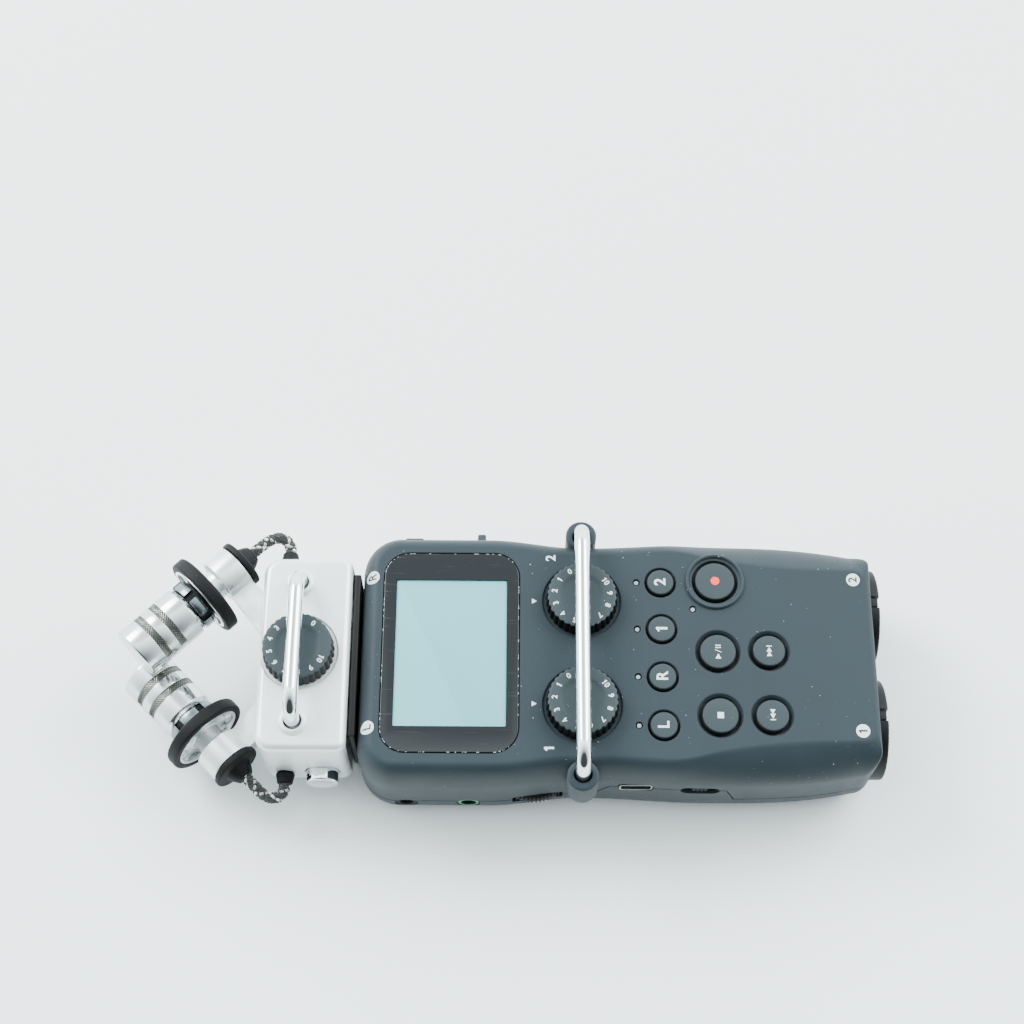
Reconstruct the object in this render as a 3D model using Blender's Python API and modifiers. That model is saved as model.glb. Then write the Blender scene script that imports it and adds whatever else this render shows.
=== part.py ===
"""Portable field recorder with a slide-in twin-microphone capsule, as separate sub-parts in metres, +Z up.

While it is modelled, the front panel is the plane z = 0, +X runs towards the socket end and +Y towards the
far side. At the end one empty lifts everything, so that the origin is under the middle of the object.
"""

import math

import bmesh
import bpy
from mathutils import Vector

MM = 0.001
GAP = 0.3 * MM                      # clearance between neighbouring pieces

# Main unit: outline of the casing
BODY_LEFT = -50.9 * MM
BODY_RIGHT = 80.9 * MM
BODY_HEIGHT = 32.0 * MM
DISPLAY_HALF_WIDTH = 33.4 * MM
WAIST_HALF_WIDTH = 31.2 * MM
HIP_HALF_WIDTH = 32.4 * MM
WAIST_X = 6.0 * MM
WALL = 2.2 * MM
SPLIT_Z = -20.0 * MM                # parting line between the front and rear covers
PANEL_SPLIT_Z = -12.5 * MM          # the same line where the port panel rises
LEFT_CORNER = 10.0 * MM
RIGHT_CORNER = 4.5 * MM
TOP_ROUNDING = (4.4 * MM, 9.0 * MM)         # across and down
END_ROUNDING = (1.3 * MM, 1.8 * MM)         # the same at the socket end
GRIP_START = 22.0 * MM              # the grips' creases fade in between these two
GRIP_FULL = 40.0 * MM
GRIP_ANGLE = math.radians(35)       # where the grips' rounding starts on its ellipse
BOTTOM_ROUNDING = (7.0 * MM, 9.5 * MM)

# Display
WINDOW_SIZE = (34.8 * MM, 53.7 * MM)
WINDOW_CENTRE = (-27.5 * MM, 0.25 * MM)
WINDOW_CORNER = 6.5 * MM
WINDOW_THICK = 1.2 * MM
LCD_SIZE = (31.0 * MM, 42.0 * MM, 4.1 * MM)

# Dials
DIAL_X = 6.03 * MM
DIAL_Y = 14.02 * MM
DIAL_RADIUS = 8.85 * MM
DIAL_HEIGHT = 4.4 * MM
DIAL_WELL_RADIUS = 10.0 * MM
DIAL_WELL_DEPTH = 0.7 * MM
SHAFT_RADIUS = 3.0 * MM

# Front buttons
BUTTON_TRAVEL = 0.5 * MM
TRACK_X = 26.4 * MM
TRACK_PITCH = 12.86 * MM
TRACK_CAP = 3.435 * MM
TRACK_HOLE = 4.05 * MM
LAMP_X = 20.2 * MM
LAMP_RADIUS = 0.6 * MM
RECORD_PLACE = (40.5 * MM, 19.6 * MM)
RECORD_CAP = 5.1 * MM
RECORD_HOLE = 5.85 * MM
RECORD_RING = 7.75 * MM
RECORD_LAMP = (34.6 * MM, 12.0 * MM)
TRANSPORT = (                       # name, x, y, cap radius
    ("play_button", 40.6 * MM, 0.3 * MM, 4.55 * MM),
    ("stop_button", 40.6 * MM, -16.7 * MM, 4.55 * MM),
    ("forward_button", 53.6 * MM, 0.6 * MM, 4.1 * MM),
    ("rewind_button", 53.7 * MM, -16.6 * MM, 4.1 * MM),
)
TRANSPORT_MARGIN = 0.65 * MM        # dark gap round a transport button

# Roll bars
BAR_DIAMETER = 3.9 * MM
BAR_AXIS_Z = 8.0 * MM
BAR_BEND = 6.0 * MM
BAR_HOLE_RADIUS = BAR_DIAMETER / 2 + 0.4 * MM
BAR_LEG_Y = 32.0 * MM
BOSS_RADIUS = 4.0 * MM
BOSS_DEPTH = 12.0 * MM

# Board and what stands on it
BOARD_TOP_Z = -8.0 * MM
BOARD_THICK = 1.6 * MM
BOARD_END_X = 61.0 * MM
BOARD_HALF_WIDTH = 27.0 * MM
PLUNGER_RADIUS = 1.2 * MM
PLUNGER_END_Z = -5.1 * MM

# Near side
WHEEL_PLACE = (-6.4 * MM, -21.5 * MM)
WHEEL_RADIUS = 12.0 * MM
WHEEL_THICK = 3.2 * MM
JACK_Z = -22.2 * MM
JACK_XS = {"phone_jack": -22.8 * MM, "line_out_jack": -38.8 * MM}
JACK_COLLAR = 2.7 * MM
JACK_BORE = 1.8 * MM
USB_PLACE = (19.8 * MM, -12.6 * MM)
USB_SIZE = (8.4 * MM, 9.0 * MM, 3.9 * MM)
SWITCH_PLACE = (36.1 * MM, -13.0 * MM)
SWITCH_TRAVEL = 2.5 * MM

# Far side
SELECT_X = -20.0 * MM
MENU_X = -37.8 * MM
FAR_KEY_Z = -7.0 * MM
CARD_X = 28.0 * MM
CARD_SIZE = (24.0 * MM, 32.0 * MM, 2.1 * MM)
CARD_COVER_SIZE = (27.0 * MM, 1.2 * MM, 7.1 * MM)
CARD_COVER_Z = -13.2 * MM

# Socket end
SOCKET_Y = 15.3 * MM
SOCKET_Z = -15.0 * MM
SOCKET_COLLAR = 12.8 * MM
SOCKET_REACH = 2.4 * MM             # how far the collars stand out of the casing
SOCKET_DEPTH = 19.3 * MM
TAB_WIDTH = 2.6 * MM

# Batteries and back
BATTERY_RADIUS = 7.1 * MM
BATTERY_LENGTH = 50.5 * MM
BAY_LEFT = 6.0 * MM
DOOR_THICK = 1.2 * MM
DOOR_TRAVEL = 4.0 * MM
BUSH_X = -4.0 * MM                  # tripod bush
SPEAKER_PLACE = (-25.0 * MM, 12.0 * MM)

# Capsule
SHELL_LEFT = -76.4 * MM
SHELL_RIGHT = -53.3 * MM
SHELL_CENTRE_X = (SHELL_LEFT + SHELL_RIGHT) / 2
SHELL_HALF_WIDTH = 26.1 * MM
SHELL_TOP = -0.5 * MM
SHELL_HEIGHT = 26.0 * MM
SHELL_WALL = 1.8 * MM
SHELL_ROUNDING = 2.0 * MM
CAPSULE_DIAL_X = -66.2 * MM
CAPSULE_BAR_X = -66.7 * MM
CAPSULE_BAR_LEG_Y = 18.7 * MM
TONGUE_SIZE = (12.4 * MM, 34.6 * MM, 11.8 * MM)
TONGUE_Z = -19.0 * MM
BASE_THICK = 1.8 * MM
BASE_HALF_WIDTH = 22.0 * MM
RELEASE_PLACE = (-60.5 * MM, -19.5 * MM)
RELEASE_RADIUS = 4.2 * MM
RELEASE_REACH = 3.2 * MM
GLAND_X = -70.3 * MM

# Microphones: distances along each axis are from the middle of its rubber ring towards the tip
RING_X = -91.7 * MM
RING_Y = 16.4 * MM
SIDE = {"right": 1.0, "left": -1.0}
RING_RADIUS = 11.1 * MM
RING_THICK = 3.5 * MM
RING_WALL = 1.7 * MM
MIC_RADIUS = 7.1 * MM
MIC_Z = {"right": -3.2 * MM, "left": -4.0 * MM - 2 * MIC_RADIUS}   # one crosses 0.8 mm under the other
MIC_START = 5.6 * MM
MIC_END = 23.6 * MM
HOLDER_RADIUS = 6.1 * MM
HOLDER_END = -11.4 * MM
CAP_RADIUS = 6.5 * MM
CORD_DIAMETER = 3.0 * MM
GLAND_DROP = 2.5 * MM               # the glands lie this much lower than their microphones

ROUND = 20                          # sides of a round piece
SMALL_ROUND = 12                    # sides of a small one

PARTS = None
CUTTERS = None
ROOT = None


# ---------------------------------------------------------------- scene and materials

def clear_scene():
    for obj in list(bpy.data.objects):
        bpy.data.objects.remove(obj, do_unlink=True)


def make_collections():
    """One collection for the pieces, one for the cutters, and the empty that carries both."""
    global PARTS, CUTTERS, ROOT
    PARTS = bpy.data.collections.new("field_recorder")
    CUTTERS = bpy.data.collections.new("cutters")
    bpy.context.scene.collection.children.link(PARTS)
    bpy.context.scene.collection.children.link(CUTTERS)
    ROOT = bpy.data.objects.new("recorder_origin", None)
    bpy.context.scene.collection.objects.link(ROOT)


def make_material(name, colour, roughness, metallic=0.0):
    """A Principled material from an sRGB hex colour."""
    channels = [int(colour[i:i + 2], 16) / 255 for i in (0, 2, 4)]
    linear = [c / 12.92 if c <= 0.04045 else ((c + 0.055) / 1.055) ** 2.4 for c in channels]
    material = bpy.data.materials.new(name)
    material.use_nodes = True
    shader = material.node_tree.nodes["Principled BSDF"]
    shader.inputs["Base Color"].default_value = (*linear, 1.0)
    shader.inputs["Roughness"].default_value = roughness
    shader.inputs["Metallic"].default_value = metallic
    return material


def make_materials():
    return {
        "soft_black": make_material("soft_touch_plastic", "5b6a73", 0.62),
        "dial": make_material("dial_plastic", "56646b", 0.55),
        "black": make_material("black_plastic", "15181a", 0.5),
        "gloss": make_material("gloss_window", "1c2a33", 0.06),
        "lcd": make_material("lcd_glass", "b5d9dc", 0.2),
        "chrome": make_material("polished_chrome", "e8ecec", 0.06, 1.0),
        "satin": make_material("satin_silver", "cdd3d3", 0.38, 1.0),
        "aluminium": make_material("turned_aluminium", "d5dada", 0.2, 1.0),
        "steel": make_material("plated_steel", "b9bcbc", 0.3, 1.0),
        "rubber": make_material("black_rubber", "1b1e20", 0.75),
        "braid": make_material("braided_sleeve", "202224", 0.85),
        "board": make_material("board_green", "1f5a3a", 0.5),
        "green": make_material("green_plastic", "2f9d6b", 0.4),
        "light": make_material("light_guide", "c9ced0", 0.3),
        "battery": make_material("battery_wrap", "8f9aa0", 0.35),
    }


# ---------------------------------------------------------------- building tools

def add_object(name, data, material, location=(0, 0, 0), direction=(0, 0, 1), cutter=False):
    """Link an object, point its own z axis along direction and hang it on the root empty."""
    obj = bpy.data.objects.new(name, data)
    (CUTTERS if cutter else PARTS).objects.link(obj)
    obj.location = location
    obj.rotation_mode = "QUATERNION"
    obj.rotation_quaternion = Vector((0, 0, 1)).rotation_difference(Vector(direction))
    obj.parent = ROOT
    if material is not None:
        data.materials.append(material)
    if cutter:
        obj.hide_render = True
        obj.display_type = "WIRE"
    return obj


def block(name, low, high, material=None, cutter=False, bevel=0.0):
    """A box between two corners, with its edges rounded by bevel."""
    low = Vector(low)
    high = Vector(high)
    bm = bmesh.new()
    bmesh.ops.create_cube(bm, size=1.0)
    bmesh.ops.scale(bm, vec=high - low, verts=bm.verts)
    mesh = bpy.data.meshes.new(name)
    bm.to_mesh(mesh)
    bm.free()
    obj = add_object(name, mesh, material, (low + high) / 2, cutter=cutter)
    if bevel:
        rounding = obj.modifiers.new("edges", "BEVEL")
        rounding.width = bevel
        rounding.segments = 2
    return obj


def turned(name, profile, material=None, place=(0, 0, 0), direction=(0, 0, 1), cutter=False, sides=ROUND):
    """A turned piece: profile holds (radius, height) pairs, down the outer side from the top."""
    bm = bmesh.new()
    points = [bm.verts.new((radius, 0.0, height)) for radius, height in profile]
    for start, end in zip(points, points[1:]):
        bm.edges.new((start, end))
    if profile[0][0] > 0:
        bm.edges.new((points[-1], points[0]))
    mesh = bpy.data.meshes.new(name)
    bm.to_mesh(mesh)
    bm.free()
    obj = add_object(name, mesh, material, place, direction, cutter)
    screw = obj.modifiers.new("turn", "SCREW")
    screw.axis = "Z"
    screw.steps = sides
    screw.render_steps = sides
    screw.use_merge_vertices = True
    screw.merge_threshold = 0.00001
    screw.use_smooth_shade = True
    return obj


def disc(radius, top, bottom):
    """Profile of a plain cylinder."""
    return [(0, top), (radius, top), (radius, bottom), (0, bottom)]


def to_mesh(obj, name):
    """Turn a curve object into a mesh object of the same place, with its caps welded."""
    graph = bpy.context.evaluated_depsgraph_get()
    mesh = bpy.data.meshes.new_from_object(obj.evaluated_get(graph))
    bm = bmesh.new()
    bm.from_mesh(mesh)
    bmesh.ops.remove_doubles(bm, verts=bm.verts, dist=0.00001)
    bmesh.ops.recalc_face_normals(bm, faces=bm.faces)
    bm.to_mesh(mesh)
    bm.free()
    mesh.name = name
    return mesh


def plate(name, outline, low, high, material=None, place=(0, 0, 0), direction=(0, 0, 1), cutter=False):
    """A flat piece: outline holds (x, y) pairs, its faces lie at heights low and high."""
    curve = bpy.data.curves.new(name + "_outline", "CURVE")
    curve.dimensions = "2D"
    curve.fill_mode = "BOTH"
    curve.extrude = (high - low) / 2
    spline = curve.splines.new("POLY")
    spline.points.add(len(outline) - 1)
    for point, (x, y) in zip(spline.points, outline):
        point.co = (x, y, 0.0, 1.0)
    spline.use_cyclic_u = True
    guide = bpy.data.objects.new(name + "_outline", curve)
    bpy.context.scene.collection.objects.link(guide)
    bpy.context.view_layer.update()
    mesh = to_mesh(guide, name)
    bpy.data.objects.remove(guide, do_unlink=True)
    for vertex in mesh.vertices:
        vertex.co.z += (low + high) / 2
    return add_object(name, mesh, material, place, direction, cutter)


def rounded_rectangle(width, height, radius, steps=4):
    """Outline of a rectangle with arcs at its corners, centred on the origin."""
    points = []
    for quarter, (sx, sy) in enumerate(((1, 1), (-1, 1), (-1, -1), (1, -1))):
        for i in range(steps + 1):
            angle = math.radians(90) * (quarter + i / steps)
            x = sx * (width / 2 - radius) + radius * math.cos(angle)
            y = sy * (height / 2 - radius) + radius * math.sin(angle)
            points.append((x, y))
    return points


def tube(name, points, diameter, material):
    """A round bar or cord along a list of points."""
    curve = bpy.data.curves.new(name, "CURVE")
    curve.dimensions = "3D"
    curve.bevel_depth = diameter / 2
    curve.bevel_resolution = 2
    curve.use_fill_caps = True
    spline = curve.splines.new("POLY")
    spline.points.add(len(points) - 1)
    for point, place in zip(spline.points, points):
        point.co = (*place, 1.0)
    return add_object(name, curve, material)


def loft(name, rings, material=None, cutter=False):
    """A closed solid through rings of the same number of points, flat at both ends."""
    bm = bmesh.new()
    loops = [[bm.verts.new(point) for point in ring] for ring in rings]
    count = len(loops[0])
    for upper, lower in zip(loops, loops[1:]):
        for i in range(count):
            j = (i + 1) % count
            bm.faces.new((upper[i], lower[i], lower[j], upper[j]))
    bm.faces.new(loops[0])
    bm.faces.new(list(reversed(loops[-1])))
    bmesh.ops.recalc_face_normals(bm, faces=bm.faces)
    mesh = bpy.data.meshes.new(name)
    bm.to_mesh(mesh)
    bm.free()
    return add_object(name, mesh, material, cutter=cutter)


def boolean(target, operation, tools):
    for tool in tools:
        modifier = target.modifiers.new(tool.name, "BOOLEAN")
        modifier.operation = operation
        modifier.object = tool


def cut(target, *tools):
    boolean(target, "DIFFERENCE", tools)


def join(target, *tools):
    boolean(target, "UNION", tools)


# ---------------------------------------------------------------- casing outlines

def half_width(x):
    """Half the casing's width at x: full at the display, a waist at the roll bar, then hips and a taper."""
    shoulder = -18.0 * MM
    hip_start = 38.0 * MM
    hip_end = 44.0 * MM
    if x <= shoulder:
        return DISPLAY_HALF_WIDTH
    if x <= WAIST_X:
        turn = (1 - math.cos(math.pi * (x - shoulder) / (WAIST_X - shoulder))) / 2
        return DISPLAY_HALF_WIDTH + (WAIST_HALF_WIDTH - DISPLAY_HALF_WIDTH) * turn
    if x <= hip_start:
        turn = (1 - math.cos(math.pi * (x - WAIST_X) / (hip_start - WAIST_X))) / 2
        return WAIST_HALF_WIDTH + (HIP_HALF_WIDTH - WAIST_HALF_WIDTH) * turn
    taper = max(0.0, (x - hip_end) / (BODY_RIGHT - hip_end))
    return HIP_HALF_WIDTH - 3.9 * MM * taper ** 2.5


def body_ring(inset, z):
    """The casing's outline at height z, moved inwards by inset."""
    left = BODY_LEFT + inset
    right = BODY_RIGHT - inset
    left_arc = max(LEFT_CORNER - inset, 1.5 * MM)
    right_arc = max(RIGHT_CORNER - inset, 0.8 * MM)
    upper = []
    left_width = half_width(left + left_arc) - inset
    for i in range(6):
        angle = math.radians(180 - 18 * i)
        upper.append((left + left_arc * (1 + math.cos(angle)), left_width - left_arc * (1 - math.sin(angle))))
    start = left + left_arc
    end = right - right_arc
    for i in range(1, 12):
        x = start + (end - start) * i / 12
        upper.append((x, half_width(x) - inset))
    right_width = half_width(end) - inset
    for i in range(4):
        angle = math.radians(90 - 30 * i)
        upper.append((end + right_arc * math.cos(angle), right_width - right_arc * (1 - math.sin(angle))))
    lower = [(x, -y) for x, y in reversed(upper)]
    return [(x, y, z) for x, y in upper + lower]


def quarter_round(across, down, steps=4):
    """Insets and depths of a quarter ellipse, from its flat end to its upright end."""
    return [
        (across * (1 - math.sin(math.pi * i / steps / 2)), down * (1 - math.cos(math.pi * i / steps / 2)))
        for i in range(steps + 1)
    ]


def crease(x):
    """Distance of a grip's crease from the middle, and how much of a crease there is, from 0 to 1."""
    share = min(1.0, max(0.0, (x - GRIP_START) / (GRIP_FULL - GRIP_START)))
    share = share * share * (3 - 2 * share)
    line = 23.0 * MM + 5.75 * MM * max(0.0, (76.4 * MM - x) / (47.5 * MM)) ** 2.4
    return line, share


def front_ring(step, steps, margin):
    """One ring of the front's rounding: the display end and sides are deep, the socket end is crisp.

    Moved inwards by a margin it has no creases, which leaves room inside the grips.
    """
    turn = math.radians(90) * step / steps
    deep = (TOP_ROUNDING[0] * (1 - math.sin(turn)), TOP_ROUNDING[1] * (1 - math.cos(turn)))
    crisp = (END_ROUNDING[0] * (1 - math.sin(turn)), END_ROUNDING[1] * (1 - math.cos(turn)))
    left = BODY_LEFT + margin + deep[0]
    right = BODY_RIGHT - margin - crisp[0]
    left_arc = max(LEFT_CORNER - margin - deep[0], 1.5 * MM)
    right_arc = max(RIGHT_CORNER - margin - crisp[0], 0.8 * MM)
    top = -margin

    def side(x):
        line, share = crease(x)
        if margin:
            share = 0.0
        begin = GRIP_ANGLE * share
        angle = begin + (math.radians(90) - begin) * step / steps
        plain = half_width(x) - TOP_ROUNDING[0]
        across = half_width(x) - (plain + (line - plain) * share)
        inset = across * (1 - math.sin(angle)) / (1 - math.sin(begin))
        depth = TOP_ROUNDING[1] * (math.cos(begin) - math.cos(angle)) / math.cos(begin)
        return half_width(x) - margin - inset, top - depth

    upper = []
    width, level = side(left + left_arc)
    for i in range(6):
        angle = math.radians(180 - 18 * i)
        upper.append((left + left_arc * (1 + math.cos(angle)), width - left_arc * (1 - math.sin(angle)), level))
    start = left + left_arc
    end = right - right_arc
    for i in range(1, 16):
        x = start + (end - start) * i / 16
        upper.append((x, *side(x)))
    width, level = side(end)
    for i in range(5):
        angle = math.radians(90 - 22.5 * i)
        share = math.sin(angle) ** 2
        upper.append((end + right_arc * math.cos(angle), width - right_arc * (1 - math.sin(angle)),
                      level * share + (top - crisp[1]) * (1 - share)))
    lower = [(x, -y, z) for x, y, z in reversed(upper)]
    return upper + lower


def front_loft(name, margin, bottom, material=None, cutter=False):
    """The front half of the casing, every face moved inwards by margin."""
    rings = [front_ring(step, 5, margin) for step in range(6)]
    lowest = min(point[2] for point in rings[-1])
    outline = [(x, y) for x, y, z in rings[-1]]
    rings.append([(x, y, lowest - 0.2 * MM) for x, y in outline])
    rings.append([(x, y, bottom) for x, y in outline])
    return loft(name, rings, material, cutter)


def rear_loft(name, margin, top, material=None, cutter=False):
    """The rear half of the casing, every face moved inwards by margin."""
    floor = -BODY_HEIGHT + margin
    rounding = list(reversed(quarter_round(*BOTTOM_ROUNDING)))
    rings = [body_ring(margin, top)]
    rings += [body_ring(margin + inset, floor + depth) for inset, depth in rounding]
    return loft(name, rings, material, cutter)


def panel_outline(gap):
    """Side view of what lies above the rear cover's port panel, as two outlines left and right of it."""
    reach = 0.1
    foot = SPLIT_Z - gap
    head = PANEL_SPLIT_Z - gap
    left = [(-reach, foot), (8.6 * MM + gap, foot), (13.2 * MM + gap, head), (13.2 * MM + gap, reach)]
    right = [(43.0 * MM - gap, reach), (43.0 * MM - gap, head), (45.4 * MM - gap, foot), (reach, foot)]
    return left + [(-reach, reach)], right + [(reach, reach)]


def upright(name, outline, low_y, high_y):
    """A cutter with an x, z outline that runs along y."""
    obj = plate(name, outline, -high_y, -low_y, cutter=True)
    obj.rotation_mode = "XYZ"
    obj.rotation_euler = (math.radians(90), 0.0, 0.0)
    return obj


# ---------------------------------------------------------------- cutters shared by both covers

def side_openings():
    """Openings in the side and end walls that cross from one cover to the other."""
    tools = []
    for name, x in JACK_XS.items():
        place = (x, -DISPLAY_HALF_WIDTH, JACK_Z)
        hole = disc(JACK_COLLAR + GAP, 6 * MM, -6 * MM)
        tools.append(turned(name + "_hole", hole, None, place, (0, -1, 0), True, SMALL_ROUND))
    half = WHEEL_THICK / 2 + 0.4 * MM
    pocket = disc(WHEEL_RADIUS + 0.6 * MM, half, -half)
    tools.append(turned("wheel_slot", pocket, None, (*WHEEL_PLACE, SPLIT_Z), cutter=True, sides=32))
    x, z = USB_PLACE
    width, depth, height = (size / 2 + GAP for size in USB_SIZE)
    low = (x - width, -DISPLAY_HALF_WIDTH - 5 * MM, z - height)
    high = (x + width, -WAIST_HALF_WIDTH + WALL + 1 * MM, z + height)
    tools.append(block("usb_opening", low, high, cutter=True))
    x, z = SWITCH_PLACE
    recess = rounded_rectangle(2 * SWITCH_TRAVEL + 5.0 * MM, 4.6 * MM, 2.2 * MM)
    outline = [(x + u, z + v) for u, v in recess]
    tools.append(upright("switch_recess", outline, -DISPLAY_HALF_WIDTH - 5 * MM, -WAIST_HALF_WIDTH + WALL + 1 * MM))
    for side in (-1, 1):
        place = (BODY_RIGHT, side * SOCKET_Y, SOCKET_Z)
        hole = disc(SOCKET_COLLAR + GAP, 5 * MM, -5 * MM)
        tools.append(turned("socket_hole", hole, None, place, (1, 0, 0), True))
    width = TONGUE_SIZE[1] / 2 + 0.5 * MM
    height = TONGUE_SIZE[2] / 2 + 0.5 * MM
    low = (BODY_LEFT - 5 * MM, -width, TONGUE_Z - height)
    high = (BODY_LEFT + WALL + 2 * MM, width, TONGUE_Z + height)
    tools.append(block("capsule_opening", low, high, cutter=True))
    return tools


def front_openings():
    """Openings that only the front cover has."""
    x, y = WINDOW_CENTRE
    width, height = WINDOW_SIZE
    margin = 2 * GAP
    recess = rounded_rectangle(width + margin, height + margin, WINDOW_CORNER + GAP)
    tools = [plate("window_recess", recess, -1.6 * MM, 1 * MM, None, (x, y, 0), cutter=True)]
    half_x = LCD_SIZE[0] / 2 + GAP
    half_y = LCD_SIZE[1] / 2 + GAP
    tools.append(block("lcd_opening", (x - half_x, y - half_y, -5 * MM), (x + half_x, y + half_y, 0), cutter=True))
    well = [(0, 1 * MM), (DIAL_WELL_RADIUS, 1 * MM), (DIAL_WELL_RADIUS, -DIAL_WELL_DEPTH),
            (SHAFT_RADIUS + 0.4 * MM, -DIAL_WELL_DEPTH), (SHAFT_RADIUS + 0.4 * MM, -4 * MM), (0, -4 * MM)]
    for side in (-1, 1):
        tools.append(turned("dial_well", well, None, (DIAL_X, side * DIAL_Y, 0), cutter=True))
    for y in track_ys():
        tools.append(turned("track_hole", disc(TRACK_HOLE, 1 * MM, -4 * MM), None, (TRACK_X, y, 0), cutter=True))
        hole = disc(LAMP_RADIUS + GAP, 1 * MM, -4 * MM)
        tools.append(turned("lamp_hole", hole, None, (LAMP_X, y, 0), cutter=True, sides=12))
    hole = disc(LAMP_RADIUS + GAP, 1 * MM, -4 * MM)
    tools.append(turned("record_lamp_hole", hole, None, (*RECORD_LAMP, 0), cutter=True, sides=12))
    tools.append(turned("record_hole", disc(RECORD_HOLE, 2 * MM, -4 * MM), None, (*RECORD_PLACE, 0), cutter=True))
    for name, x, y, cap in TRANSPORT:
        hole = cap + TRANSPORT_MARGIN
        dish = [(0, 1 * MM), (hole + 0.7 * MM, 1 * MM), (hole + 0.7 * MM, 0), (hole, -0.5 * MM),
                (hole, -4 * MM), (0, -4 * MM)]
        tools.append(turned(name + "_hole", dish, None, (x, y, 0), cutter=True))
    for side in (-1, 1):
        hole = disc(BAR_HOLE_RADIUS, 3 * MM, -9.6 * MM)
        tools.append(turned("bar_hole", hole, None, (DIAL_X, side * BAR_LEG_Y, 0), cutter=True, sides=SMALL_ROUND))
    width, thick, height = CARD_COVER_SIZE
    low = (CARD_X - width / 2 - GAP, WAIST_HALF_WIDTH - WALL - 1 * MM, CARD_COVER_Z - height / 2 - GAP)
    high = (CARD_X + width / 2 + GAP, DISPLAY_HALF_WIDTH + 5 * MM, CARD_COVER_Z + height / 2 + 0.4 * MM)
    tools.append(block("card_opening", low, high, cutter=True))
    inner = DISPLAY_HALF_WIDTH - WALL - 2 * MM
    outer = DISPLAY_HALF_WIDTH + 5 * MM
    low = (MENU_X - 2.7 * MM, inner, FAR_KEY_Z - 1.6 * MM)
    tools.append(block("menu_opening", low, (MENU_X + 2.7 * MM, outer, FAR_KEY_Z + 1.6 * MM), cutter=True))
    low = (SELECT_X - 3.0 * MM, inner, FAR_KEY_Z - 1.6 * MM)
    tools.append(block("select_slot", low, (SELECT_X + 3.0 * MM, outer, FAR_KEY_Z + 1.6 * MM), cutter=True))
    return tools


def track_ys():
    return [(i - 1.5) * TRACK_PITCH for i in range(4)]


# ---------------------------------------------------------------- main unit

def make_covers(mats):
    shared = side_openings()
    front = front_loft("front_cover", 0.0, SPLIT_Z, mats["soft_black"])
    cut(front, front_loft("front_hollow", WALL, SPLIT_Z - 5 * MM, cutter=True))
    for side in (-1, 1):
        profile = [(0, 0.5 * MM), (BOSS_RADIUS - 0.4 * MM, 0.5 * MM), (BOSS_RADIUS, 0),
                   (BOSS_RADIUS, 3 * MM - BOSS_DEPTH), (BOSS_RADIUS * 0.7, 0.9 * MM - BOSS_DEPTH), (0, -BOSS_DEPTH)]
        place = (DIAL_X, side * (BAR_LEG_Y + 0.4 * MM), 0)
        join(front, turned("bar_boss", profile, None, place, cutter=True, sides=16))
    ring = [(RECORD_HOLE - 0.6 * MM, 0.6 * MM), (RECORD_RING - 0.5 * MM, 0.6 * MM), (RECORD_RING, 0.1 * MM),
            (RECORD_RING, -1.8 * MM), (RECORD_HOLE - 0.6 * MM, -1.8 * MM)]
    join(front, turned("record_ring", ring, None, (*RECORD_PLACE, 0), cutter=True))
    notch = [(8.6 * MM, SPLIT_Z - 5 * MM), (8.6 * MM, SPLIT_Z), (13.2 * MM, PANEL_SPLIT_Z),
             (43.0 * MM, PANEL_SPLIT_Z), (45.4 * MM, SPLIT_Z), (45.4 * MM, SPLIT_Z - 5 * MM)]
    cut(front, upright("panel_notch", notch, -DISPLAY_HALF_WIDTH - 5 * MM, -BOARD_HALF_WIDTH))
    cut(front, *shared, *front_openings())

    rear = rear_loft("rear_cover", 0.0, PANEL_SPLIT_Z - GAP, mats["soft_black"])
    cut(rear, rear_loft("rear_hollow", WALL, 5 * MM, cutter=True))
    left, right = panel_outline(GAP)
    for name, outline in (("above_left", left), ("above_right", right)):
        cut(rear, upright(name, outline, -0.1, 0.1))
    low = (-0.1, -BOARD_HALF_WIDTH - 1 * MM, SPLIT_Z - GAP)
    cut(rear, block("above_far", low, (0.1, 0.1, 0.1), cutter=True))
    cut(rear, *shared, *rear_openings())


def rear_openings():
    floor = -BODY_HEIGHT
    bay_right = BAY_LEFT + BATTERY_LENGTH + 6.0 * MM
    half_y = 2 * BATTERY_RADIUS + 2.1 * MM
    low = (BAY_LEFT + 0.5 * MM - DOOR_TRAVEL - GAP, -half_y, floor - 1 * MM)
    high = (bay_right, half_y, floor + DOOR_THICK + GAP)
    tools = [block("door_recess", low, high, cutter=True)]
    low = (BAY_LEFT + 1 * MM, -half_y + 1.3 * MM, floor - 1 * MM)
    high = (bay_right - 1 * MM, half_y - 1.3 * MM, floor + 2 * WALL)
    tools.append(block("battery_opening", low, high, cutter=True))
    tools.append(turned("bush_hole", disc(5.1 * MM, 5 * MM, -1 * MM), None, (BUSH_X, 0, floor), cutter=True))
    for i in range(5):
        y = SPEAKER_PLACE[1] + (i - 2) * 2.6 * MM
        low = (SPEAKER_PLACE[0] - 5 * MM, y - 0.5 * MM, floor - 1 * MM)
        high = (SPEAKER_PLACE[0] + 5 * MM, y + 0.5 * MM, floor + 2 * WALL)
        tools.append(block("speaker_slot", low, high, cutter=True))
    return tools


def make_display(mats):
    x, y = WINDOW_CENTRE
    outline = rounded_rectangle(*WINDOW_SIZE, WINDOW_CORNER)
    plate("display_window", outline, -0.1 * MM - WINDOW_THICK, -0.1 * MM, mats["gloss"], (x, y, 0))
    half_x = LCD_SIZE[0] / 2
    half_y = LCD_SIZE[1] / 2
    top = -1.9 * MM
    block("lcd_module", (x - half_x, y - half_y, top - LCD_SIZE[2]), (x + half_x, y + half_y, top), mats["lcd"])


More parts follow.
